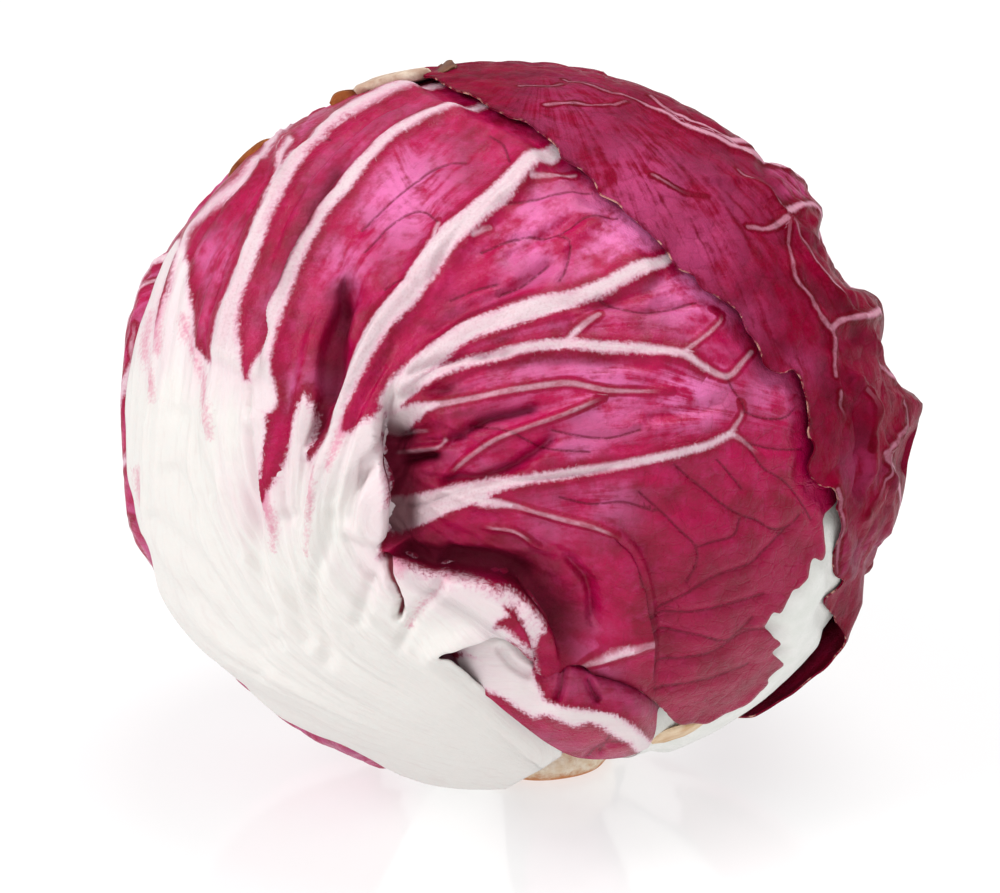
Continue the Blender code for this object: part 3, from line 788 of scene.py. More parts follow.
FRONT_VEINS = (
    ((140, 400, 14), (146, 350, 11), (150, 320, 8), (156, 295, 5), (166, 270, 3), (176, 252, 2)),
    ((160, 400, 26), (168, 360, 24), (177, 330, 17), (181, 300, 11), (182, 285, 8.5), (182, 262, 5),
     (185, 245, 3.5), (193, 228, 4.2), (206, 216, 4.2), (217, 206, 4.4), (231, 193, 4), (244, 180, 4),
     (257, 162, 3.6), (269, 145, 3.4), (285, 128, 3), (300, 116, 2.5)),
    ((229, 430, 18), (229.5, 359, 14.5), (232, 325, 11.5), (239.5, 293, 9), (253.5, 254, 8.8),
     (264.5, 222, 7), (281.5, 187, 7.5), (292.5, 168, 8), (308.5, 149, 6), (328, 130, 5.5), (350, 114, 5),
     (380, 98, 4.2), (414, 84, 3.6), (434, 77, 3.2), (470, 66, 3)),
    ((274, 193, 3), (279, 172, 3), (282, 155, 3), (290, 141, 3.5)),
    ((264, 400, 16), (264, 379, 14), (272, 345, 9), (280.5, 321, 7), (294.5, 283, 6), (307, 254, 5.4),
     (321.5, 226, 3.8), (334, 205, 5), (349, 187, 6), (371, 159, 5), (393, 136, 4.5), (420, 122, 4),
     (450, 109, 3.5), (477, 100, 3), (515, 86, 3)),
    ((326, 470, 14), (334, 436, 10), (341, 412, 8), (352, 385, 9), (367, 353, 11), (384, 325, 12),
     (408, 299, 11), (432, 264, 12), (447, 243, 13), (468, 225, 11), (501, 195, 10), (534, 160, 9),
     (553, 147, 9), (566, 136, 8), (590, 116, 8)),
    ((432, 251, 3), (438, 223, 1.5)), ((473, 236, 1.8), (490, 228, 1)), ((531, 178, 2), (577, 169, 0.8)),
    ((384, 402, 8), (398, 388, 10), (414, 373, 11), (432, 358, 11), (464, 334, 10), (499, 321, 11),
     (538, 308, 11), (573, 299, 8), (609, 286, 8), (640, 269, 8), (664, 258, 6), (676, 250, 5)),
    ((386, 408, 8), (425, 379, 6), (462, 364, 6), (494, 356, 5), (534, 347, 5), (568, 344, 6), (599, 347, 6),
     (642, 349, 5), (681, 354, 3.8), (703, 366, 2.8), (728, 376, 2.4), (742, 365, 2), (757, 350, 1.6)),
    ((568, 340, 3), (583, 325, 2.5), (599, 314, 1.5)),
    ((433, 406, 2.5), (478, 397, 2), (520, 389, 1.9), (570, 383, 2), (608, 390, 1.5), (642, 391, 0.8),
     (672, 392, 0.2)),
    ((442, 480, 0.2), (469, 457, 1.2), (497, 439, 1.2), (528, 427, 1), (570, 412, 1), (604, 397, 0.4)),
    ((380, 424, 12), (396, 418, 11), (414, 411, 8), (432, 406, 4), (450, 402, 1)),
    ((384, 434, 2), (402, 431, 1.6), (425, 430, 0.4)),
    ((386, 454, 1.6), (410, 452, 1.8), (436, 447, 1), (442, 440, 1.4)),
    ((388, 522, 20), (415, 515, 17), (440, 504, 14), (470, 495, 11), (502, 484, 6.5), (564, 474, 5.2),
     (625, 464, 4.4), (678, 452, 4), (706, 445, 3.6), (730, 434, 3)),
    ((730, 434, 2.2), (743, 412, 0.6), (742, 402, 0.1)), ((730, 433, 2.4), (747, 443, 1), (762, 460, 0.2)),
    ((478, 532, 0.3), (500, 533, 0.9), (516, 536, 0.9), (539, 552, 0.2)),
    ((480, 503, 6), (500, 505, 4), (530, 511, 1.4), (564, 520, 1.8), (590, 526, 1.2), (617, 536, 0.3)),
    ((578, 668, 0.3), (594, 662, 2), (612, 655, 3), (634, 647, 2.6), (654, 641, 1.6)),
    ((684, 351, 1.6), (701, 339, 1.1), (717, 326, 0.8), (726, 313, 0.5), (716, 306, 0.1)),
)

# Width, drop, run of the recovery, curl, and the lengths over which a fold fades in and out
FRONT_FOLDS = {
    "pleat": (3.2, 5.6, 11.0, 0.42, 2.5, 9.0),
    "brim": (2.8, 5.2, 10.0, 0.36, 8.0, 2.5),
    "rim": (1.3, 0.7, 2.6, 0.2, 6.0, 6.0),
    "lobe": (2.4, 1.9, 5.0, 0.3, 5.0, 7.0),
    "valley": (1.6, 2.6, 4.6, 0.36, 6.0, 5.0),
    "tongue": (1.3, 1.7, 2.6, 0.3, 4.0, 5.0),
    "second": (1.1, 1.3, 2.0, 0.3, 4.0, 3.0),
}
SLIT = traced(((383, 557), (390, 571), (397, 585), (401, 600), (398, 617)), 2.0)
HOLE_LIP = traced(((445, 648), (460, 641), (480, 635), (497, 631), (512, 636)), 3.0)
HOLE_FOOT = traced(((450, 662), (471, 682), (488, 696), (505, 711), (519, 722), (534, 733), (550, 744)), 3.0)

# Magenta streaks in the white base
FRONT_FAINT = (
    ((151, 313, 2), (147, 346, 2), (151, 368, 2), (160, 400, 1)),
    ((162, 300, 2), (160, 329, 2.5), (162, 352, 1)),
    ((184, 318, 2), (188, 338, 2.5), (197, 359, 3), (206, 386, 3), (210, 410, 3), (212, 436, 1)),
    ((318, 466, 0.6), (317, 490, 1.2), (314, 520, 0.8), (312, 550, 0.2)),
    ((350, 424, 5), (344, 438, 4), (337, 455, 2), (334, 468, 0.5)),
    ((267, 496, 4), (272, 512, 3.4), (275, 530, 1.6), (276, 550, 0.3)),
    ((386, 556, 2), (393, 566, 3), (402, 572, 2)),
    ((452, 580, 0.4), (436, 591, 0.3), (419, 608, 0.2), (408, 629, 0.1)),
    ((136, 470, 0.8), (140, 500, 0.6), (147, 520, 0.3)),
)

# Painted sheen on the front leaf's blade: lilac patches that stand for the gloss of its waxy skin
FRONT_SHEEN = (
    (222, 262, 30, 0.7), (228, 320, 26, 0.6), (300, 140, 40, 0.5), (400, 195, 60, 0.95), (345, 262, 34, 0.7),
    (300, 396, 30, 0.6), (278, 300, 26, 0.4), (420, 130, 40, 0.3), (540, 230, 60, 0.9), (620, 235, 60, 1.0),
    (690, 290, 46, 0.9), (600, 285, 40, 0.7), (600, 385, 60, 0.8), (690, 390, 46, 1.0), (520, 350, 60, 0.7),
    (470, 465, 36, 0.3), (580, 455, 34, 0.7), (590, 425, 40, 0.5), (770, 395, 30, 0.6), (600, 660, 26, 0.4),
    (610, 500, 30, 0.5), (560, 520, 40, 0.3),
)

# Painted shade along the bottoms of the blade's folds: a line in pixels, its half width and its strength
FRONT_SHADES = (
    (((346, 158), (330, 184), (316, 212), (302, 246), (288, 276), (276, 304)), 10.0, 1.0),
    (((350, 268), (338, 300), (333, 330), (328, 360), (322, 392), (317, 420), (309, 456)), 11.0, 0.8),
    (((266, 350), (268, 368), (262, 382)), 5.0, 0.6), (((300, 150), (287, 172), (281, 190)), 4.0, 0.6),
    (((440, 441), (461, 433), (486, 420), (518, 412), (545, 405)), 5.0, 0.6),
    (((388, 470), (400, 462), (424, 458), (444, 457)), 8.0, 0.9),
    (((432, 490), (459, 480), (478, 479), (507, 469), (535, 452)), 4.0, 0.5),
    (((392, 553), (440, 568), (480, 573), (520, 586), (548, 618)), 8.0, 0.7),
    (((530, 570), (560, 586), (572, 616)), 12.0, 0.35),
    (((420, 354), (450, 330), (490, 305), (540, 296)), 4.0, 0.5),
    (((566, 664), (590, 672), (615, 682), (646, 694)), 5.0, 0.9),
    (((655, 600), (659, 640), (655, 690)), 3.0, 0.5),
)

# Smaller ridges and grooves of the front leaf: a line in pixels, how far it stands out and how wide it is
FRONT_FOLDS_SMALL = (
    (((210, 420), (214, 452), (212, 507)), -0.5, 1.3),
    (((249, 420), (253, 455), (257, 541), (266, 585), (283, 628)), -0.8, 1.2),
    (((251, 378), (250, 400), (249, 420)), -0.6, 1.2),
    (((283, 505), (283, 541), (290, 572), (301, 615), (318, 648)), -0.6, 1.2),
    (((312, 450), (303, 474), (299, 502), (296, 530)), -0.9, 1.2),
    (((333, 502), (327, 550), (318, 589), (327, 637), (335, 669)), -0.5, 1.2),
    (((366, 463), (357, 489), (353, 507), (352, 530)), -0.8, 1.1),
    (((138, 533), (175, 580), (214, 615), (244, 650), (275, 676)), -0.4, 1.4),
    (((149, 507), (186, 550), (223, 593), (249, 632), (270, 660)), -0.4, 1.4),
    (((164, 459), (197, 513), (231, 572), (262, 615), (290, 650)), -0.5, 1.5),
    (((180, 400), (196, 450), (220, 510), (245, 560)), -0.5, 1.5),
    (((453, 580), (436, 591), (419, 608), (408, 629), (396, 654)), -0.5, 1.0),
    (((375, 568), (368, 593), (364, 608), (360, 630)), -0.5, 1.2),
    (((419, 658), (445, 645), (470, 636), (497, 631)), 0.7, 1.6),
    (((384, 464), (400, 461), (420, 457), (440, 457)), -2.0, 0.9),
    (((388, 450), (410, 450), (440, 446), (446, 440)), 0.8, 1.0),
    (((378, 441), (390, 433), (412, 430)), -1.2, 1.0),
    (((440, 441), (461, 433), (486, 420), (518, 412), (545, 405)), -1.3, 0.9),
    (((445, 470), (469, 455), (497, 438), (528, 426), (570, 411), (602, 398)), 0.7, 0.9),
    (((432, 490), (459, 480), (478, 479), (507, 469), (535, 452), (562, 431)), -1.3, 1.0),
    (((388, 514), (420, 510), (450, 497), (490, 483), (560, 478), (620, 467)), -0.35, 0.4),
    (((396, 480), (415, 473), (440, 468)), 0.8, 1.4),
    (((386, 400), (420, 392), (460, 388)), -0.6, 0.8),
    (((400, 380), (430, 366), (470, 358), (520, 353)), -0.7, 0.7),
    (((478, 532), (516, 536), (539, 553), (562, 559)), 0.7, 0.9),
    (((562, 559), (577, 572), (592, 591), (598, 623), (596, 644)), -1.0, 0.9),
    (((518, 507), (564, 520), (613, 534), (638, 555), (653, 602), (656, 644), (650, 690)), 0.8, 0.9),
    (((430, 566), (470, 572), (505, 580), (535, 600)), -1.6, 2.2),
    (((400, 545), (440, 553), (500, 555), (540, 560)), 0.7, 1.2),
    (((588, 664), (612, 655), (653, 641)), 0.4, 0.5),
    (((340, 290), (332, 330), (330, 370), (322, 410)), -1.2, 1.8),
    (((360, 300), (350, 330), (345, 350)), 0.6, 1.0),
    (((425, 340), (470, 310), (510, 290), (560, 255)), -0.6, 1.2),
    (((500, 262), (540, 236), (580, 215)), -0.5, 1.0),
    (((520, 175), (490, 200), (450, 250), (430, 290)), -0.5, 0.8),
    (((650, 300), (690, 310), (730, 340), (752, 372)), -0.5, 1.2),
    (((560, 310), (620, 300), (680, 270)), -0.5, 1.0),
    (((480, 372), (540, 362), (600, 362), (660, 366)), -0.5, 1.1),
    (((640, 420), (690, 410), (730, 400)), -0.5, 1.1),
)

FRONT_TONGUES = (
    ((178, 256), (176, 285), (169, 300), (164, 320), (160, 346), (157, 322), (160, 300), (169, 275)),
    ((473, 582), (491, 584), (512, 591), (530, 602), (543, 616), (554, 633), (561, 650), (566, 668),
     (566, 700), (540, 700), (541, 684), (538, 668), (536, 655), (535, 645), (538, 633), (544, 622),
     (537, 612), (524, 603), (508, 597), (492, 592), (478, 589)),
    ((496, 622), (497, 617), (508, 612), (505, 604), (513, 606), (523, 620), (530, 634), (531, 642),
     (522, 634), (513, 626), (505, 620)),
    ((509, 633), (519, 639), (527, 648), (533, 658), (536, 668), (540, 684), (534, 676), (529, 664),
     (522, 652), (513, 643)),
    ((213, 363), (205, 356), (202, 352), (194, 336), (192, 321), (192, 302), (190, 271), (186, 249),
     (150, 210), (180, 150), (250, 80), (400, 10), (600, 0), (900, 100), (1000, 400), (980, 700), (760, 860),
     (640, 800), (640, 700), (610, 690), (585, 676), (562, 670), (554, 653), (546, 637), (536, 621),
     (524, 608), (507, 598), (487, 592), (467, 587), (449, 583), (427, 577), (407, 570), (391, 563),
     (380, 557), (380, 545), (382, 528), (382, 512), (380, 486), (375, 470), (372, 452), (374, 434),
     (381, 416), (386, 402), (377, 405), (367, 418), (353, 431), (342, 431), (338, 421), (331, 427),
     (324, 441), (316, 455), (309, 463), (306, 461), (312, 442), (316, 420), (315, 403), (308, 391),
     (301, 404), (293, 428), (284, 455), (272, 490), (264, 507), (260, 498), (264, 466), (270, 428),
     (271, 400), (272, 388), (266, 382), (258, 386), (250, 380), (240, 378), (232, 374), (222, 366)),
)


def front_relief_lines(blade):
    """The pleat, folds and edges of the front leaf, laid on its chart."""
    def on_chart(*pixels):
        return traced(blade.chart.flat(seen(*pixels)), 1.0)

    return {
        "pleat": on_chart((383, 553), (385, 542), (388, 528), (389, 514), (389, 498), (386, 482), (381, 466),
                          (378, 450), (379, 432), (384, 414), (391, 398), (402, 382)),
        "brim": on_chart((567, 670), (561, 650), (554, 633), (543, 616), (530, 602), (512, 591), (491, 584),
                         (470, 581), (452, 578), (430, 571), (410, 564), (394, 558), (383, 553)),
        "rim": on_chart((541, 688), (536, 669), (535, 651), (531, 634), (525, 622), (516, 611), (502, 602),
                        (488, 597), (474, 592)),
        "lobe": on_chart((648, 694), (652, 679), (655, 658), (656, 639), (652, 613), (647, 584), (638, 560),
                         (622, 540), (606, 526)),
        "valley": on_chart((304, 460), (310, 440), (316, 420), (318, 400), (318, 380), (320, 356),
                           (324, 336), (331, 312), (339, 290), (350, 268)),
        "tongue": on_chart((324, 196), (314, 216), (299, 253), (287, 275), (277, 300), (273, 318),
                           (273, 335), (268, 357), (261, 380)),
        "second": on_chart((356, 500), (360, 476), (365, 458), (373, 434), (378, 422), (388, 404)),
    }


def folded(px, folds):
    """Ridges and grooves along lines in the view: each with its rise and its width in millimetres."""
    height = np.zeros(len(px))
    for line, rise, width in folds:
        near = Nearest(px, traced(line, 4.0), reach=50.0)
        ends = smooth(near.along / 16.0) * smooth((near.length - near.along) / 16.0)
        height += rise * bell(near.distance * PIXEL / width) * ends
    return height


def beside_folds(blade, folds):
    """The lines of folds on the blade's chart, each with how far from it the mesh is finest."""
    return [(traced(blade.chart.flat(seen(*line)), 1.0), 1.1 + width) for line, _, width in folds]


def sheen_spots(px, spots):
    """How much painted sheen the blade has, from round spots in the view: x, y, radius and strength."""
    strength = np.zeros(len(px))
    for x, y, radius, most in spots:
        strength = np.maximum(strength, most * bell(np.hypot(px[:, 0] - x, px[:, 1] - y) / radius))
    return strength


def shaded(px, shades):
    """How much shade is painted along the bottoms of its folds."""
    strength = np.zeros(len(px))
    for line, width, most in shades:
        near = Nearest(px, traced(line, 4.0), reach=60.0)
        ends = 0.3 + 0.7 * smooth(near.along / 20.0) * smooth((near.length - near.along) / 20.0)
        strength = np.maximum(strength, most * ends * bell(near.distance / width))
    return strength


def fold(points, line, width, drop, recover, curl, start, end):
    """A pleat: the blade runs over the line's edge, back under it and down, then up again to the right.

    It fades in over the line's first millimetres and out over its last ones.
    """
    near = Nearest(points, line)
    q = -near.side * near.distance
    strength = smooth(near.along / start) * smooth((near.length - near.along) / end)
    t = np.clip(q / width + 0.76, 0.0, 1.0)
    down = smooth((t - 0.2) / 0.62)
    beyond = np.maximum(q - 0.24 * width, 0.0)
    depth = -drop * strength * down * bell(beyond / recover)
    crest = 0.28 * drop * strength * bell((q + 1.1 * width) / (1.3 * width))
    span = width * curl * strength * np.sin(2.0 * math.pi * t)
    tangent = np.gradient(line, axis=0)[near.index]
    across = unit(np.stack((tangent[:, 1], -tangent[:, 0]), 1))
    # How much shade is painted at the fold's bottom, under its edge
    painted_shade = np.clip(strength * down * bell(beyond / (0.45 * recover)), 0, 1)
    return depth, crest, across * span[:, None], painted_shade


def flow_of(pixels, guides):
    """Across the ribs: which two a point lies between, and how far along it is."""
    signed = []
    for line in guides:
        near = Nearest(pixels, traced(np.array(line, float), 12.0))
        signed.append(near.side * near.distance)
    across = -np.clip(-signed[0], 0, None) / 60.0
    for i in range(len(guides) - 1):
        span = signed[i] - signed[i + 1]
        share = np.clip(signed[i] / np.where(np.abs(span) < 1e-6, 1e-6, span), 0.0, 1.0)
        across = np.where((signed[i] > 0) & (signed[i + 1] <= 0), i + share, across)
    return np.where(signed[-1] > 0, len(guides) - 1 + signed[-1] / 60.0, across)


def front_relief(blade):
    """The relief of the front leaf, and the lines beside which its mesh is finest."""
    lines = front_relief_lines(blade)
    veins = Veins(FRONT_VEINS, 4.0)
    faint = Veins(FRONT_FAINT, 4.0)
    creases = Veins([[(x, y, 0.5) for x, y in line] for line in FRONT_CREASES], 4.0)

    def relief(surface, plain=False):
        px = surface.pixels
        near_vein = veins.at(px, 70.0, PIXEL)
        clear, half = near_vein.clear, near_vein.half
        # How far a point lies in the magenta part, and negative in the white base
        mag = np.full(len(px), -FAR)
        for tongue in FRONT_TONGUES:
            mag = np.maximum(mag, depth_in(px, np.array(tongue, float)))
        blush = smooth(mag / 14.0)
        # The ribs, which rise slowly from the stem and taper
        height = np.zeros(len(px))
        for rib, (width, rise) in zip(FRONT_RIBS, FRONT_RIB_SIZES):
            near = Nearest(px, traced(np.array(rib, float), 12.0))
            size = 1.0 - 0.6 * near.along / near.length
            start = 0.15 + 0.85 * smooth((near.along - 60.0) / 260.0)
            height = np.maximum(height, rise * size * start * bell(near.distance * PIXEL / (width * size)))
        # Every vein stands out, most of all in the magenta part
        ridge = np.clip(half, 0.25, 1.8)
        height += 0.42 * ridge * bell(clear.clip(0, None) / (0.5 + 0.7 * ridge)) * (0.3 + 0.7 * blush)
        # Ripples along the ribs, but not below the brim or right of the pleat
        flow = flow_of(px, FRONT_RIBS)
        far = np.linalg.norm(px - FRONT_START, axis=1)
        streak = np.stack((flow * 9.0, far / 210.0), 1)
        foot_x, foot_y = PLEAT_FOOT
        below = smooth((px[:, 1] - foot_y - 0.62 * (px[:, 0] - foot_x)) / 20.0)
        below *= smooth((600.0 - px[:, 0]) / 30.0)
        right = smooth((px[:, 0] - 385.0) / 40.0) * (1.0 - below)
        ripple = (1.0 - right) * smooth((far - 60.0) / 260.0)
        height += ripple * (0.72 * noise(streak, 1.0, 3) + 0.25 * noise(streak * (2.3, 1.6), 1.0, 4))
        height += 1.6 * folded(px, FRONT_FOLDS_SMALL)
        wet = bell(np.hypot(*((px - WET_PLACE) * (1.0, 1.3)).T) / 42.0)
        height += wet * 0.28 * noise(surface.world, 1.5, 57)
        # The wrinkles of the right part run out of the pleat
        turn = np.arctan2(px[:, 1] - FAN_START[1], px[:, 0] - FAN_START[0])
        reach = np.hypot(px[:, 0] - FAN_START[0], px[:, 1] - FAN_START[1])
        fan = np.stack((turn * 15.0, reach / 120.0), 1)
        lower = smooth((px[:, 1] - 545.0) / 60.0)
        wrinkles = 0.45 * noise(fan, 1.0, 11) + 0.22 * noise(fan * (2.1, 2.5), 1.0, 12)
        height += right * wrinkles * (1.0 - 0.7 * lower)
        # The blade swells between the veins of its net, and creases cut into it
        net_a = Net(warped(surface.flat, 4.0, 1.2, 31), 7.5, 3)
        height += blush * (0.12 * smooth(net_a.distance / 3.0) - 0.04 * bell(net_a.distance / 0.6))
        near_crease = creases.at(px, 30.0, PIXEL)
        height += blush * -0.4 * bell(near_crease.clear.clip(0, None) / 0.6)
        height += 0.35 * rough(surface.world, 9.0, 50) + 0.08 * blush * noise(surface.world, 1.6, 53)
        # Folds: of the pleat and the brim the deeper one holds, and the others add up. The pleat, the brim
        # and the valley get painted shade at their bottoms
        shift = np.zeros((len(px), 2))
        deep = np.zeros(len(px))
        lowest = np.zeros(len(px))
        most = np.zeros(len(px))
        for key, (width, drop, recover, curl, start, end) in FRONT_FOLDS.items():
            down, crest, moved, painted_shade = fold(surface.flat, lines[key], width, drop, recover, curl, start, end)
            if key in ("pleat", "brim"):
                lowest = np.minimum(lowest, down)
                most = np.maximum(most, crest)
                deep = np.maximum(deep, painted_shade)
            else:
                height += down + crest
                deep = np.maximum(deep, 0.5 * painted_shade) if key == "valley" else deep
            shift += moved
        height += lowest + np.where(lowest < -0.3, 0.0, most)
        # The slit beside the pleat's foot, and the hole's lifted lip
        slit = Nearest(px, SLIT, reach=20.0)
        height -= 2.4 * bell(slit.distance * PIXEL / 0.5)
        lip = Nearest(px, HOLE_LIP, reach=60.0)
        height += 1.3 * bell(lip.distance * PIXEL / 3.2)
        cup = Nearest(px, HOLE_FOOT, reach=60.0)
        height -= 0.9 * bell(cup.distance * PIXEL / 2.0)
        lift = bell(surface.edge / 1.4) * smooth((px[:, 0] - 660.0) / 30.0)
        height += lift * (0.35 + 0.3 * noise(surface.flat, 4.0, 77))
        if plain:
            return height, shift, {}
        net_b = Net(warped(surface.flat, 2.0, 0.5, 33), 2.7, 8)
        across_ribs = flow * (1.0 - right) + (3.0 + flow_of(px, FRONT_RIBS[3:] + FRONT_RIGHT)) * right
        along_ribs = far * (1.0 - right) + (reach + 322.0) * right
        return height, shift, {
            **near_vein.values(),
            "magenta": mag * PIXEL,
            "faint": faint.at(px, 30.0, PIXEL).clear.clip(-2, 6),
            "net_a": net_a.packed(),
            "net_b": net_b.packed(0.6),
            "crease": near_crease.values()["vein"],
            "edge": surface.edge,
            "flow": np.column_stack((across_ribs, along_ribs, np.zeros(len(px)))) * (9.0, PIXEL, 1.0),
            # Painted sheen, at spots
            "haze": sheen_spots(px, FRONT_SHEEN),
            # Painted shade in the bottoms of the folds and along the shade lines
            "deep": np.maximum(deep, shaded(px, FRONT_SHADES)),
            "slit": with_guard(slit.offset * PIXEL, slit.distance.clip(0, 99) * PIXEL, 0.8),
            "netty": 0.1 + 0.5 * smooth((px[:, 0] - 560.0) / 120.0) * smooth((px[:, 1] - 330.0) / 160.0),
            "dull": smooth((px[:, 0] - 600.0) / 120.0) * smooth((px[:, 1] - 470.0) / 110.0),
        }

    fine = [(line, 3.0) for line in lines.values()]
    return relief, fine + beside_folds(blade, FRONT_FOLDS_SMALL)


FRONT_CREASES = (
    ((360, 228), (392, 197), (447, 162), (466, 161)),
    ((364, 251), (388, 225), (414, 210), (425, 210), (437, 221)), ((490, 134), (503, 143), (510, 162)),
    ((503, 206), (555, 193), (594, 187)), ((481, 251), (523, 236), (557, 233), (588, 217), (620, 213)),
    ((557, 233), (570, 241), (566, 269), (560, 280)), ((499, 293), (523, 282), (549, 262)),
    ((728, 376), (736, 390), (743, 401), (745, 408)), ((745, 412), (762, 418), (785, 418), (801, 408)),
    ((747, 443), (774, 449), (808, 450)), ((747, 443), (762, 466), (785, 481), (799, 496), (812, 520)),
    ((674, 464), (690, 478), (707, 491), (722, 503), (739, 514), (759, 521)),
    ((717, 460), (730, 474), (743, 489)),
    ((654, 622), (677, 606), (695, 592), (719, 576), (754, 562), (777, 541), (792, 526)),
    ((654, 622), (697, 614), (727, 606), (765, 595)),
    ((654, 637), (700, 637), (727, 641), (739, 631), (754, 618)),
    ((658, 669), (697, 658), (719, 650), (742, 633), (765, 628)),
    ((697, 548), (712, 542), (735, 535), (742, 518)),
    ((640, 492), (660, 510), (680, 530), (697, 548), (697, 566), (690, 584)),
    ((759, 521), (775, 530), (790, 528), (800, 515)), ((655, 690), (690, 684), (722, 676), (750, 664)),
    ((552, 430), (580, 436), (610, 438), (640, 430)), ((470, 425), (510, 432), (545, 448), (590, 452)),
    ((600, 300), (640, 312), (676, 306), (700, 300)), ((450, 300), (473, 290), (497, 283)),
    ((560, 498), (590, 505), (625, 503), (655, 512)), ((640, 590), (632, 560), (615, 540)),
    ((300, 150), (318, 138), (330, 140)), ((420, 290), (400, 282), (385, 290)),
)


# Finishes


class Nodes:
    """Builds a finish from nodes, one call a node."""

    def __init__(self, name):
        self.material = bpy.data.materials.new(name)
        self.material.use_nodes = True
        self.tree = self.material.node_tree
        self.shader = self.tree.nodes["Principled BSDF"]

    def node(self, kind, values=(), **settings):
        made = self.tree.nodes.new(kind)
        for key, value in settings.items():
            setattr(made, key, value)
        for key, value in values:
            if isinstance(value, bpy.types.NodeSocket):
                self.tree.links.new(value, made.inputs[key])
            else:
                made.inputs[key].default_value = value
        return made

    def attribute(self, name, vector=False):
        made = self.node("ShaderNodeAttribute", attribute_name=name)
        return made.outputs["Vector" if vector else "Fac"]

    def math(self, operation, first, second):
        return self.node("ShaderNodeMath", ((0, first), (1, second)), operation=operation).outputs[0]

    def add(self, a, b):
        return self.math("ADD", a, b)

    def times(self, a, b):
        return self.math("MULTIPLY", a, b)

    def length(self, vector):
        return self.node("ShaderNodeVectorMath", ((0, vector),), operation="LENGTH").outputs["Value"]

    def scaled(self, vector, factors):
        return self.node("ShaderNodeVectorMath", ((0, vector), (1, factors)),
                         operation="MULTIPLY").outputs[0]

    def step(self, value, low, high, start=0.0, end=1.0):
        return self.node("ShaderNodeMapRange", ((0, value), (1, low), (2, high), (3, start), (4, end)),
                         interpolation_type="SMOOTHSTEP").outputs[0]

    def mix(self, share, first, second, blend="MIX"):
        made = self.node("ShaderNodeMix", (("Factor", share),), data_type="RGBA", blend_type=blend)
        for socket, value in ((made.inputs[6], first), (made.inputs[7], second)):
            if isinstance(value, bpy.types.NodeSocket):
                self.tree.links.new(value, socket)
            else:
                socket.default_value = (*value, 1.0)
        return made.outputs[2]

    def noise(self, vector, scale, detail=2.0, roughness=0.5):
        made = self.node("ShaderNodeTexNoise", (("Vector", vector), ("Scale", scale), ("Detail", detail),
                                                ("Roughness", roughness)))
        return made.outputs["Fac"]

    def bump(self, height, strength, depth):
        """Gives the finish a relief of its own, in metres."""
        made = self.node("ShaderNodeBump", (("Height", height), ("Strength", strength), ("Distance", depth)))
        self.tree.links.new(made.outputs[0], self.shader.inputs["Normal"])

    def spread(self, value, size):
        """Noise moved to lie round 0, and stretched."""
        return self.times(self.add(value, -0.5), size)

    def place(self):
        """Object coordinates, in millimetres."""
        return self.scaled(self.node("ShaderNodeTexCoord").outputs["Object"], (1000.0, 1000.0, 1000.0))


def srgb(red, green, blue):
    """A colour as shaders take it."""
    return tuple((c / 12.92 if c <= 0.04045 else ((c + 0.055) / 1.055) ** 2.4)
                 for c in (red / 255.0, green / 255.0, blue / 255.0))


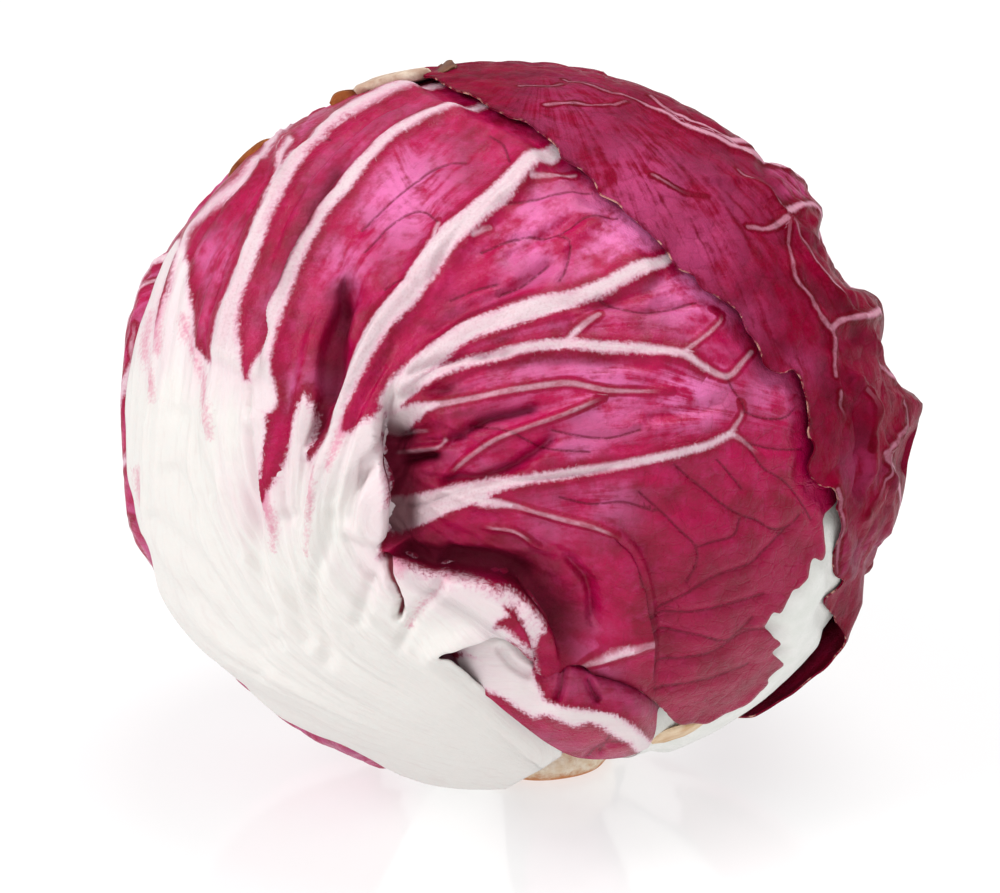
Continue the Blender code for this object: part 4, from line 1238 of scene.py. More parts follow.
def leaf_finish(name, blade_colour, deep_colour, light_colour, sheen_colour, vein_colour, base_colour,
                dull_colour, shine):
    """A leaf's skin: veins, a white base, fine creases and a waxy blade between them, with painted sheen on
    the blade, a painted highlight along its edge and painted shade in its folds and slit.
    """
    n = Nodes(name)
    place = n.place()
    flow = n.attribute("flow", True)
    grain = n.noise(place, 1.7, 3.0, 0.6)
    patch = n.noise(place, 0.16, 3.0, 0.55)
    mottle = n.noise(place, 0.5, 4.0, 0.65)
    streak = n.noise(n.scaled(flow, (0.7, 0.09, 1.0)), 1.0, 3.0, 0.6)
    barb = n.noise(n.scaled(flow, (0.6, 2.4, 1.0)), 1.0, 2.0, 0.65)
    fibre = n.noise(n.scaled(flow, (2.6, 0.22, 1.0)), 1.0, 2.0, 0.6)
    # How deep a point lies in a vein or the base: their borders are feathered
    wander = n.add(n.spread(grain, 1.0), n.add(n.spread(streak, 0.9), n.spread(barb, 0.5)))
    thin = n.math("SUBTRACT", n.length(n.attribute("vein", True)), n.attribute("vein_half"))
    vein = n.math("MINIMUM", n.add(thin, n.times(wander, 0.22)), n.add(n.attribute("thick"), wander))
    body = n.add(n.attribute("magenta"), n.times(wander, 1.5))
    pale_in = n.math("MAXIMUM", n.times(vein, -1.0), n.times(body, -1.0))
    blade = n.step(pale_in, -0.34, 0.42, 1.0, 0.0)
    half = n.attribute("vein_half")
    # Thin veins are weak and come and go
    worn = n.step(n.add(mottle, n.spread(grain, 0.4)), 0.3, 0.65, 1.3, 0.7)
    weak = n.times(n.step(half, 0.1, 0.9, 0.64, 0.0), worn)
    weak = n.times(n.math("MAXIMUM", weak, n.step(half, 0.06, 0.2, 1.0, 0.0)), n.step(body, 0.0, 0.8))
    blade = n.math("MAXIMUM", blade, n.times(weak, n.step(n.attribute("thick"), 0.1, 0.7)))
    # Colour of the blade
    colour = n.mix(n.step(patch, 0.35, 0.7), blade_colour, deep_colour)
    colour = n.mix(n.times(n.step(mottle, 0.45, 0.75), 0.3), colour, light_colour)
    # Painted sheen: lilac patches away from the veins that stand for the gloss of the waxy skin
    haze = n.times(n.step(pale_in, -2.6, -0.5, 1.0, 0.0), n.attribute("haze"))
    haze = n.times(haze, n.step(n.add(patch, n.add(n.spread(streak, 1.3), n.spread(mottle, 0.7))),
                                0.2, 0.64))
    colour = n.mix(haze, colour, sheen_colour)
    colour = n.mix(n.times(n.attribute("dull"), 0.5), colour, dull_colour)
    colour = n.mix(n.step(pale_in, -1.5, -0.3, 0.0, 0.40), colour, deep_colour)
    netty = n.attribute("netty")
    line_a = n.times(n.step(n.length(n.attribute("net_a", True)), 0.08, 0.34, 1.0, 0.0),
                     n.times(netty, n.step(n.noise(place, 0.35, 2.0), 0.42, 0.6)))
    line_b = n.times(n.step(n.length(n.attribute("net_b", True)), 0.04, 0.22, 1.0, 0.0), netty)
    crease = n.step(n.length(n.attribute("crease", True)), 0.03, 0.34, 1.0, 0.0)
    crease = n.times(crease, n.step(grain, 0.3, 0.55, 0.35, 1.0))
    colour = n.mix(n.times(line_a, 0.55), colour, deep_colour)
    colour = n.mix(n.times(line_b, 0.28), colour, deep_colour)
    colour = n.mix(n.times(crease, 0.75), colour, srgb(104, 0, 34))
    # Colour of the veins and the base
    pale = n.mix(n.step(body, -1.5, 5.0), base_colour, vein_colour)
    tinge = n.step(n.add(body, n.spread(streak, 10.0)), -9.0, 0.4, 0.0, 0.22)
    tinge = n.times(tinge, n.step(body, 0.0, 2.0, 1.0, 0.2))
    pale = n.mix(tinge, pale, srgb(222, 150, 186))
    pale = n.mix(n.step(pale_in, 0.0, 0.9, 0.40, 0.0), pale, srgb(214, 120, 166))
    far = n.times(n.step(body, 1.0, 9.0, 0.0, 0.22), n.step(n.add(streak, n.spread(grain, 0.6)), 0.3, 0.75))
    pale = n.mix(far, pale, srgb(200, 112, 146))
    specks = n.times(n.step(body, -2.0, 6.0, 0.0, 0.24), n.step(n.noise(place, 2.6, 3.0), 0.48, 0.7))
    pale = n.mix(specks, pale, srgb(176, 132, 138))
    pale = n.mix(n.step(fibre, 0.5, 0.75, 0.0, 0.12), pale, srgb(190, 160, 160))
    faint = n.step(n.add(n.attribute("faint"), n.times(wander, 2.6)), -1.0, 0.9, 0.58, 0.0)
    pale = n.mix(faint, pale, light_colour)
    colour = n.mix(blade, pale, colour)
    # Painted highlight: a broken cream line along the blade's edge, where its teeth catch the light
    rim = n.times(n.step(n.attribute("edge"), 0.0, 0.12, 1.0, 0.0), n.step(mottle, 0.5, 0.62, 0.0, 0.9))
    colour = n.mix(n.times(rim, blade), colour, srgb(214, 164, 148))
    # Painted shade: the bottoms of folds and hollows are painted dark maroon
    deep = n.attribute("deep")
    painted_shade = n.math("MAXIMUM", n.times(deep, n.step(blade, 0.0, 1.0, 0.35, 0.85)),
                  n.step(deep, 0.55, 1.0, 0.0, 0.88))
    colour = n.mix(painted_shade, colour, srgb(84, 0, 26))
    # Painted shade: the slit beside the pleat's foot is painted dark crimson
    slit = n.step(n.length(n.attribute("slit", True)), 0.2, 0.5, 0.95, 0.0)
    colour = n.mix(slit, colour, srgb(120, 4, 36))
    n.tree.links.new(colour, n.shader.inputs["Base Color"])
    gloss = n.noise(place, 0.9, 3.0, 0.6)
    roughness = n.add(n.step(gloss, 0.3, 0.7, 0.27, 0.42), n.step(blade, 0.0, 1.0, 0.12, 0.0))
    roughness = n.add(roughness, n.times(deep, 0.4))
    n.tree.links.new(roughness, n.shader.inputs["Roughness"])
    relief = n.add(n.times(n.noise(place, 3.2, 3.0, 0.65), 0.1),
                   n.times(n.noise(place, 1.1, 3.0, 0.6), 0.18))
    relief = n.times(relief, n.step(blade, 0.0, 1.0, 0.5, 1.0))
    relief = n.add(relief, n.times(n.add(line_b, n.times(n.add(line_a, crease), 1.2)),
                                   n.times(blade, -0.08)))
    fibres = n.add(n.times(streak, 0.12), n.times(fibre, 0.07))
    relief = n.add(relief, n.times(fibres, n.step(blade, 0.0, 1.0, 1.0, 0.7)))
    n.bump(relief, 1.0, 0.001)
    n.shader.inputs["Specular IOR Level"].default_value = shine
    n.shader.inputs["Subsurface Weight"].default_value = 0.12
    n.shader.inputs["Subsurface Scale"].default_value = 0.0015
    n.shader.inputs["Subsurface Radius"].default_value = (1.0, 0.5, 0.5)
    return n.material


def plain_finish(name, colour, second, roughness):
    """A finish with soft streaks of two colours, for dry scraps and for what shows through gaps."""
    n = Nodes(name)
    place = n.place()
    streak = n.noise(place, 0.3, 4.0, 0.6)
    n.tree.links.new(n.mix(n.step(streak, 0.3, 0.7), colour, second), n.shader.inputs["Base Color"])
    n.bump(n.noise(place, 1.6, 4.0, 0.6), 0.4, 0.0004)
    n.shader.inputs["Roughness"].default_value = roughness
    return n.material


FRONT_FINISH = leaf_finish(
    "front_leaf_skin", blade_colour=srgb(168, 0, 68), deep_colour=srgb(130, 0, 38),
    light_colour=srgb(202, 50, 120), sheen_colour=srgb(220, 112, 170), vein_colour=srgb(214, 196, 200),
    base_colour=srgb(223, 219, 215), dull_colour=srgb(132, 8, 52), shine=0.2)
OUTER_FINISH = leaf_finish(
    "outer_leaf_skin", blade_colour=srgb(128, 0, 38), deep_colour=srgb(92, 0, 18),
    light_colour=srgb(154, 16, 68), sheen_colour=srgb(176, 62, 110), vein_colour=srgb(196, 150, 160),
    base_colour=srgb(214, 204, 202), dull_colour=srgb(128, 2, 50), shine=0.03)
BACK_FINISH = leaf_finish(
    "back_leaf_skin", blade_colour=srgb(146, 0, 50), deep_colour=srgb(108, 0, 28),
    light_colour=srgb(174, 30, 88), sheen_colour=srgb(188, 78, 128), vein_colour=srgb(218, 196, 200),
    base_colour=srgb(224, 218, 214), dull_colour=srgb(124, 14, 54), shine=0.25)
PALE_FINISH = plain_finish("pale_leaf_skin", srgb(234, 234, 230), srgb(224, 226, 220), 0.42)
TAN_FINISH = plain_finish("tan_margin_skin", srgb(198, 156, 108), srgb(224, 200, 168), 0.6)
DRY_FINISH = plain_finish("dry_leaf_skin", srgb(132, 62, 14), srgb(176, 104, 40), 0.6)
TIP_FINISH = plain_finish("dry_tip_skin", srgb(84, 40, 34), srgb(118, 78, 52), 0.6)
MARGIN_FINISH = plain_finish("dry_margin_skin", srgb(176, 140, 120), srgb(214, 196, 176), 0.6)
INNER_FINISH = plain_finish("inner_leaf_skin", srgb(138, 20, 66), srgb(190, 120, 150), 0.5)


# The other leaves


def plain_values(surface, near_vein, mag, net_a, net_b, flow, far):
    """What a leaf's finish reads where it has no pleats and creases."""
    count = len(surface.flat)
    return {
        **near_vein.values(),
        "magenta": mag,
        "faint": np.full(count, 5.0),
        "net_a": net_a.packed(),
        "net_b": net_b.packed(0.6),
        "crease": np.full((count, 3), 9.0),
        "edge": surface.edge,
        "flow": np.column_stack((flow, far, np.zeros(count))),
        # Painted sheen, even over the blade
        "haze": np.full(count, 0.4),
        "deep": np.zeros(count),
        "dull": np.zeros(count),
        "slit": np.full((count, 3), 9.0),
        "netty": np.full(count, 0.35),
    }


def vein_lines(chart, lines):
    """Veins given by directions and half widths, laid on a chart."""
    return Veins([np.column_stack((chart.flat(directions), halves)) for directions, halves in lines], 2.0)


def tapered(directions, start, end):
    """A vein whose half width runs from start to end."""
    return directions, np.linspace(start, end, len(directions))


# The half width of a small vein at its start and its end
SIDE_VEIN = (0.34, 0.08)


def side_veins(rib, gap, reach):
    """Small veins that leave a rib on both sides by turns and bend along with it."""
    spots = unit(traced(rib * HEAD_RADIUS, gap))
    found = []
    for k in range(1, len(spots) - 1):
        ahead = unit(spots[k + 1] - spots[k - 1])
        side = np.cross(spots[k], ahead) * (1 if k % 2 else -1)
        size = reach * (1.15 - 0.6 * k / len(spots)) / HEAD_RADIUS
        bend = spots[k] + size * (0.30 * ahead + 0.36 * side)
        tip = bend + size * (0.52 * ahead + 0.26 * side)
        found.append(tapered(unit(np.stack((spots[k], bend, tip))), *SIDE_VEIN))
    return found


# How wide the cells of a leaf's net are, and how much its edge waves
NET_SIZE = 6.5
EDGE_WAVE = 0.5


def ribbed_relief(blade, lines, ribs, mounds, white_reach, seed, extra=None, haze=()):
    """The relief of a leaf whose ribs are given by directions."""
    veins = vein_lines(blade.chart, lines)
    rib_lines = [(traced(blade.chart.flat(line), 3.0), width, rise) for line, width, rise in ribs]

    def relief(surface, plain=False):
        flat = surface.flat
        near_vein = veins.at(flat, 16.0)
        clear, half = near_vein.clear, near_vein.half
        height = np.zeros(len(flat))
        for line, width, rise in rib_lines:
            near = Nearest(flat, line)
            size = 1.0 - 0.65 * near.along / near.length
            height = np.maximum(height, rise * size * bell(near.distance / (width * size)))
        for middle, spread, rise in mounds:
            height += swell(surface.directions, middle, spread, rise)
        ridge = np.clip(half, 0.15, 1.6)
        height += 0.42 * ridge * bell(clear.clip(0, None) / (0.35 + 0.6 * ridge))
        low = np.linalg.norm(surface.directions - unit(under((0.0, 0.0)))[0], axis=1) * HEAD_RADIUS
        turn = np.arctan2(surface.world[:, 0], -surface.world[:, 1])
        mag = low - white_reach + 4.0 * noise(np.stack((turn * 5.0, low / 40.0), 1), 1.0, seed + 3)
        blush = smooth(mag / 4.0)
        warp = 1.2 * np.stack((noise(flat, 4.0, seed + 31), noise(flat, 4.0, seed + 32)), 1)
        net_a = Net(flat + warp, NET_SIZE, seed + 3)
        height += blush * (0.26 * smooth(net_a.distance / 2.8) - 0.10 * bell(net_a.distance / 0.6))
        bumps = 0.5 * rough(surface.world, 11.0, seed + 50)
        height += bumps + 0.09 * noise(surface.world, 1.7, seed + 53)
        if extra is not None:
            height = extra(surface, height)
        streak = np.stack((turn * 24.0, low / 30.0), 1)
        height += 0.16 * (1.0 - blush) * noise(streak, 1.0, seed + 60)
        height += bell(surface.edge / 1.6) * (0.25 + EDGE_WAVE * noise(flat, 5.0, seed + 77))
        if plain:
            return height, np.zeros_like(flat), {}
        net_b = Net(flat + 0.4 * warp, 2.6, seed + 8)
        values = plain_values(surface, near_vein, mag, net_a, net_b, turn * 40.0, low)
        if haze:
            # Painted sheen: lilac patches that stand for gloss, mostly where the leaf faces the view
            front = smooth(surface.facing * 0.3 + 1.0)
            values["haze"] = 0.16 - 0.08 * front + 0.95 * sheen_spots(surface.pixels, haze) * front
        return height, np.zeros_like(flat), values

    return relief


def right_parts():
    """The right leaf's ribs, mounds and veins."""
    ribs = (
        (path(neck(98.0), polar((102, -44), (114, -8), (121, 24), (132, 46))), 3.0, 2.0),
        (path(polar((100, -20), (84, 2)), seen((842, 300), (811, 262), (791, 228), (770, 200))), 2.2, 1.2),
        (path(polar((99, -32), (76, -14)), seen((880, 440), (866, 400), (840, 396), (835, 340))), 2.2, 1.2),
        (path(polar((104, 14),), seen((818, 240), (783, 216), (753, 184), (700, 180))), 2.0, 1.1),
        (path(polar((111, -14), (126, 2), (138, 18))), 2.2, 1.4),
        (path(polar((105, -34), (122, -26), (134, -16))), 2.2, 1.4))
    mounds = ((polar((118, 2)), 10.0, 1.8), (polar((126, 26)), 9.0, 1.6), (polar((122, -28)), 9.0, 1.6))
    lines = (
        tapered(ribs[0][0], 3.4, 0.3),
        tapered(ribs[4][0], 1.3, 0.3), tapered(ribs[5][0], 1.3, 0.3),
        *side_veins(ribs[0][0], 9.0, 15.0), *side_veins(ribs[4][0], 6.0, 9.0),
        *side_veins(ribs[5][0], 6.0, 9.0),
        tapered(seen((750, 153), (735, 147), (716, 138), (690, 127), (662, 112), (636, 101), (600, 91),
                     (564, 80)),
                0.9, 0.12),
        tapered(path(polar((103, -45), (102, -34), (98, -18)), seen((911, 390), (892, 376), (879, 364))),
                1.5, 0.2),
        tapered(path(polar((97, 4), (101, 20), (101, 36)), seen((750, 153))), 0.8, 0.8),
        tapered(path(polar((101, 20),), seen((820, 210), (814, 204))), 0.5, 0.45),
        tapered(path(polar((104, -36), (99, -16), (97, 4)), seen((884, 315), (862, 318), (842, 320))),
                1.1, 0.3),
        tapered(path(polar((103, -40), (90, -26)), seen((893, 470), (880, 452))), 1.0, 0.2),
        tapered(seen((738, 171), (761, 188), (783, 213)), 0.2, 0.5),
        tapered(seen((783, 213), (800, 207), (814, 204)), 0.5, 0.45),
        tapered(seen((748, 227), (768, 229), (783, 221)), 0.2, 0.4),
        tapered(seen((790, 223), (805, 242), (814, 262), (829, 279), (842, 294)), 0.1, 0.5),
        tapered(seen((783, 214), (790, 250), (794, 277), (809, 299), (820, 318), (831, 329)), 0.08, 0.3),
        tapered(seen((831, 329), (836, 323), (842, 320)), 0.42, 0.34),
        tapered(seen((833, 332), (835, 355), (835, 376)), 0.2, 0.12),
        tapered(seen((838, 392), (841, 408), (848, 424)), 0.14, 0.06),
        tapered(seen((862, 390), (869, 408), (870, 427), (869, 448)), 0.1, 0.04),
        tapered(seen((896, 402), (899, 420), (893, 436), (880, 452)), 0.12, 0.22),
        tapered(seen((880, 452), (886, 470), (878, 490), (866, 515)), 0.18, 0.06),
        tapered(seen((832, 488), (838, 505), (841, 540), (842, 575)), 0.2, 0.1),
        tapered(seen((652, 176), (666, 184), (683, 192), (705, 197)), 0.14, 0.05),
        tapered(seen((520, 86), (540, 88), (562, 84)), 0.2, 0.1),
        tapered(seen((545, 107), (565, 104), (600, 107), (625, 103)), 0.2, 0.1),
        tapered(seen((650, 99), (675, 114), (705, 127), (731, 140), (750, 144)), 0.3, 0.8),
    )
    return ribs, mounds, lines


def left_parts():
    """The left leaf's ribs, mounds and veins."""
    mid = path(neck(-104.0), polar((-106, -50), (-110, -20), (-114, 12), (-120, 40), (-124, 54)))
    ribs = (
        (mid, 3.4, 2.4),
        (polar((-106, -46), (-88, -22), (-80, 8), (-82, 34)), 2.4, 1.4),
        (polar((-107, -40), (-130, -24), (-144, -4), (-152, 18)), 2.4, 1.5),
        (polar((-109, -24), (-130, -2), (-140, 20), (-144, 38)), 2.3, 1.4),
        (polar((-112, 0), (-98, 20), (-94, 42)), 2.2, 1.2),
        (polar((-107, -48), (-134, -40), (-152, -28), (-162, -16)), 2.3, 1.4))
    mounds = (
        (seen((128, 300)), 9.0, 1.0), (seen((124, 400)), 9.0, 1.2), (seen((128, 500)), 9.0, 1.0),
        (seen((290, 732)), 7.0, 0.6), (polar((-140, 10)), 10.0, 1.4), (polar((-152, 40)), 8.0, 1.2))
    lines = [tapered(mid, 4.2, 0.2)] + [tapered(rib[0], 1.9, 0.35) for rib in ribs[1:]]
    for rib in ribs[1:]:
        lines += side_veins(rib[0], 6.5, 9.0)
    lines += [tapered(polar(*line), 0.7, 0.2) for line in (
        ((-93, -28), (-78, -24), (-66, -14)), ((-84, -8), (-74, 2), (-68, 16)),
        ((-81, 6), (-90, 22), (-92, 30)), ((-134, -20), (-148, -18), (-158, -8)),
        ((-120, -12), (-126, 6), (-128, 20)), ((-142, 24), (-152, 28), (-158, 30)),
        ((-116, 20), (-126, 34), (-134, 46)), ((-117, 30), (-106, 46), (-100, 56)),
        ((-140, -42), (-150, -46), (-158, -46)))]
    return ribs, mounds, lines


def back_parts():
    """The back leaf's ribs, mounds and veins."""
    mid = path(neck(178.0), polar((178, -48), (176, -16), (178, 18), (-178, 48), (-165, 66)))
    ribs = (
        (mid, 3.4, 2.4),
        (polar((178, -44), (160, -24), (150, 4), (146, 30)), 2.4, 1.5),
        (polar((178, -30), (-162, -8), (-152, 16)), 2.3, 1.4),
        (polar((177, -8), (162, 18), (156, 42)), 2.3, 1.4),
        (polar((178, 12), (-171, 26), (-162, 40), (-150, 52)), 2.2, 1.2))
    mounds = ((polar((-176, 60)), 9.0, 1.2), (polar((165, 10)), 10.0, 1.0))
    lines = [tapered(mid, 4.4, 0.3)] + [tapered(rib[0], 2.0, 0.4) for rib in ribs[1:]]
    for rib in ribs[1:]:
        lines += side_veins(rib[0], 6.5, 9.0)
    lines += [tapered(polar(*line), 0.7, 0.2) for line in (
        ((154, -8), (162, 2), (166, 14)), ((-166, -12), (-168, 4), (-164, 18)),
        ((160, 24), (170, 34), (176, 44)), ((150, 8), (140, 22), (132, 34)),
        ((-157, 4), (-150, -4), (-144, -8)), ((-172, 58), (-150, 66), (-120, 70)))]
    return ribs, mounds, lines


def crumpled_right(surface, height):
    """The crumples and folds of the right leaf near its outline in the view."""
    rise, away = limb_place(surface.directions)
    height = height * (1.0 - 0.8 * bell(away / 6.0) * (rise != 0.0)) + rise.clip(0) * bell(away / 7.0)
    foot = Nearest(surface.pixels, traced(RIGHT_FOOT, 6.0), reach=90.0).distance
    height = height - 1.0 * bell(foot / 60.0)
    return height + folded(surface.pixels, RIGHT_FOLDS) * smooth(surface.facing * 40.0 + 0.3)


# The right leaf's lower margin, pressed to the head
RIGHT_FOOT = ((740, 728), (777, 704), (806, 684), (832, 656), (842, 620), (846, 590))

# Painted sheen on the right leaf's blade: lilac patches and a pale spot that stand for its gloss
RIGHT_SHEEN = (
    (640, 190, 60, 0.9), (570, 120, 50, 0.5), (700, 245, 46, 0.8), (750, 320, 26, 0.5), (800, 368, 20, 0.6),
    (802, 188, 20, 2.0), (779, 172, 9, 1.6), (880, 560, 30, 0.5), (860, 470, 24, 0.4), (700, 215, 60, 0.6),
    (830, 560, 26, 0.5),
)

# Ridges and grooves of the right leaf: a line in pixels, how far it stands out and how wide it is
RIGHT_FOLDS = (
    (((846, 380), (852, 374), (860, 384), (868, 393), (871, 410), (870, 430), (870, 455), (869, 490)),
     1.3, 0.9),
    (((858, 400), (861, 425), (862, 450), (862, 480), (858, 505)), -1.4, 0.8),
    (((884, 392), (894, 396), (899, 412), (899, 428), (890, 444), (880, 458)), 1.2, 0.8),
    (((906, 404), (905, 425), (903, 450), (897, 480)), -1.0, 0.7),
    (((880, 462), (888, 476), (880, 495), (870, 512), (862, 530)), 0.8, 0.9),
    (((832, 332), (843, 324), (862, 318), (883, 315)), 0.9, 1.0),
    (((836, 345), (855, 338), (872, 338)), -0.7, 1.2),
    (((797, 250), (800, 280), (815, 305), (830, 330)), 0.6, 1.0),
    (((760, 170), (783, 190), (800, 208), (816, 214)), 0.6, 1.1),
    (((700, 150), (740, 176), (770, 204), (797, 240)), 0.5, 1.4),
    (((640, 110), (690, 140), (730, 168), (760, 196)), -0.4, 1.6),
    (((833, 470), (842, 510), (850, 550), (852, 590)), 0.7, 1.0),
)


def made_leaf(blade, above, relief, finish, node, slot, **options):
    """A leaf's blade below the leaves above it, in place of its solid."""
    piece = blade_mesh(blade, above, relief, finish, **options)
    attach(piece, "root")
    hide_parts(node)
    return piece


def no_relief(surface, plain=False):
    """Hardly any relief, for leaves of which little shows."""
    count = len(surface.flat)
    height = 0.3 * rough(surface.world, 9.0, 90)
    net = Net(surface.flat, 6.0, 5)
    return height, np.zeros((count, 2)), {} if plain else plain_values(
        surface, Veins((), 1.0).at(surface.flat, 1.0), np.full(count, -5.0), net, net, surface.flat[:, 0],
        surface.flat[:, 1])


# The roll that comes out of the hole: at each station along it, pixels and height from its back to its foot
ROLL_STATIONS = (
    ((432, 636, -4.0), (440, 642, -4.2), (449, 651, -4.0), (457, 662, -3.6), (465, 674, -3.2),
     (474, 688, -2.6)),
    ((474, 612, -4.0), (478, 634, -2.0), (481, 650, -1.3), (483, 665, -1.0), (486, 680, -0.7),
     (488, 697, -0.3)),
    ((512, 615, -4.0), (511, 634, -1.6), (511, 652, -0.4), (511, 670, 0.0), (510, 691, 0.6),
     (505, 711, 1.0)),
    ((556, 646, -5.0), (548, 664, -1.6), (543, 682, 0.6), (540, 698, 1.4), (536, 715, 2.0), (532, 732, 1.8)),
    ((580, 652, -5.0), (567, 667, 0.4), (563, 684, 2.0), (560, 704, 2.8), (556, 725, 2.8), (549, 744, 2.0)),
    ((606, 664, -5.0), (591, 678, 0.8), (589, 694, 2.2), (587, 712, 3.2), (583, 735, 3.2), (576, 757, 1.8)),
    ((636, 672, -5.0), (622, 686, 0.8), (619, 700, 2.4), (616, 718, 3.2), (612, 738, 3.2), (608, 759, 1.4)),
    ((656, 688, -4.0), (648, 699, 0.5), (645, 708, 2.0), (642, 723, 2.8), (638, 740, 2.4), (632, 755, 0.8)),
    ((666, 700, -4.0), (658, 710, -0.6), (657, 718, 0.4), (656, 729, 0.8), (653, 739, 0.4),
     (648, 748, -0.6)),
)
ROLL_VEINS = (
    ((468, 668, 14), (490, 676, 15), (512, 686, 14), (530, 696, 9), (545, 706, 5.5), (561, 713, 4),
     (582, 717, 3.6), (596, 719, 4), (610, 723, 4), (624, 730, 4.4), (638, 739, 4), (650, 746, 3)),
)
ROLL_TONGUES = (
    ((470, 700), (486, 690), (496, 694), (508, 702), (520, 711), (533, 718), (548, 716), (560, 721),
     (575, 727), (590, 723), (602, 728), (616, 737), (630, 745), (645, 765), (560, 800), (470, 740)),
    ((534, 660), (536, 676), (540, 690), (546, 699), (561, 705), (582, 709), (598, 710), (612, 713),
     (626, 720), (640, 729), (650, 740), (690, 740), (700, 690), (600, 640), (550, 640)),
    ((440, 645), (452, 650), (470, 656), (484, 668), (474, 676), (462, 668), (446, 660)),
)
ROLL_CREASES = (
    ((563, 670, 0.8), (562, 684, 0.8), (558, 697, 0.5)), ((588, 680, 0.6), (592, 690, 0.6), (597, 698, 0.4)),
    ((588, 755, 1.0), (596, 747, 1.4), (606, 742, 1.4), (618, 741, 1.0), (630, 741, 0.6)),
    ((610, 735, 0.4), (600, 750, 0.5)), ((500, 650, 0.3), (512, 664, 0.3), (528, 674, 0.3)),
)

# How finely the roll and the scraps are split, and how high their bumps are
ROLL_STEPS = ((110, 220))
ROLL_BUMPS = 0.3
SCRAP_STEPS = (14, 40)
SCRAP_BUMPS = 0.25


def resampled(points, count):
    """Points in even steps along the smooth line through some, as it runs in the view."""
    line = traced(points, 2.0)
    place = np.concatenate(((0.0,), np.cumsum(np.linalg.norm(np.diff(line[:, :2], axis=0), axis=1))))
    shares = np.linspace(0.0, 1.0, count)
    return np.stack([np.interp(shares, place / place[-1], line[:, k]) for k in range(3)], 1)


def loft(name, stations, finish, node, steps, bumps, veins=(), tongues=(), creases=()):
    """A thin piece through stations of pixels and heights, such as a rolled margin or a dry scrap."""
    across, along = steps
    rows = np.array([resampled(station, across) for station in stations])
    flat = np.concatenate([resampled(row, along) for row in rows.swapaxes(0, 1)])
    px = flat[:, :2]
    near_vein = Veins(veins, 3.0).at(px, 60.0, PIXEL)
    mag = np.full(len(px), -FAR if tongues else 9.0)
    for tongue in tongues:
        mag = np.maximum(mag, depth_in(px, np.array(tongue, float)))
    near_crease = Veins(creases, 2.0).at(px, 30.0, PIXEL)
    height = flat[:, 2] + 0.6 * bell(near_vein.clear.clip(0, None) / 1.4) * smooth((px[:, 0] - 500.0) / 60.0)
    height -= 0.9 * bell(near_crease.clear.clip(0, None) / 0.7)
    height += bumps * (noise(px * PIXEL, 5.0, 400) + 0.35 * noise(px * PIXEL, 1.8, 401))
    lift = head_form(seen(*px)) + height
    points = on_head(seen_at(px, lift), lift)
    points[:, 2] = np.maximum(points[:, 2], 0.5)
    points = held(points).reshape(across, along, 3)
    normal = unit(np.cross(np.gradient(points, axis=1), np.gradient(points, axis=0)))
    outward = np.sign((normal * (points - HEAD_CENTRE)).sum())
    normal *= outward
    i, j = np.meshgrid(np.arange(across), np.arange(along), indexing="ij")
    side_i, side_j = np.minimum(i, across - 1 - i), np.minimum(j, along - 1 - j)
    thickness = 0.3 + 0.35 * smooth(np.minimum(side_i / across, side_j / along) * 16.0)
    inner = points - normal * thickness[..., None]
    size = across * along
    number = np.arange(size).reshape(across, along)
    quads = np.stack((number[:-1, :-1], number[1:, :-1], number[1:, 1:], number[:-1, 1:]), -1).reshape(-1, 4)
    if outward > 0:
        quads = quads[:, ::-1]
    ring = np.concatenate((number[0, :-1], number[:-1, -1], number[-1, :0:-1], number[:0:-1, 0]))
    after = np.roll(ring, -1)
    rim = np.stack((ring, after, after + size, ring + size), 1)
    if outward < 0:
        rim = rim[:, ::-1]
    faces = np.concatenate((quads, quads[:, ::-1] + size, rim))
    net = Net(px * PIXEL, 4.0, 60)
    edge = np.minimum(side_i * 0.16, side_j * 0.18).ravel() + 0.06
    values = {**near_vein.values(), "magenta": mag * PIXEL, "faint": np.full(size, 5.0),
              "net_a": net.packed(),
              "net_b": net.packed(0.6), "crease": near_crease.values()["vein"], "edge": edge,
              "flow": np.column_stack((px * PIXEL, np.zeros(size)))[:, (1, 0, 2)],
              # Painted sheen even over the piece, and painted shade where it lies low
              "haze": np.full(size, 0.2), "deep": smooth((-1.5 - flat[:, 2]) / 3.0),
              "dull": np.full(size, 0.4),
              "slit": np.full((size, 3), 9.0), "netty": np.full(size, 0.2)}
    both = {key: np.concatenate((value, value)) for key, value in values.items()}
    piece = new_piece(name, np.concatenate((points.reshape(-1, 3), inner.reshape(-1, 3))), faces,
                      both, finish)
    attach(piece, "root")
    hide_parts(node)


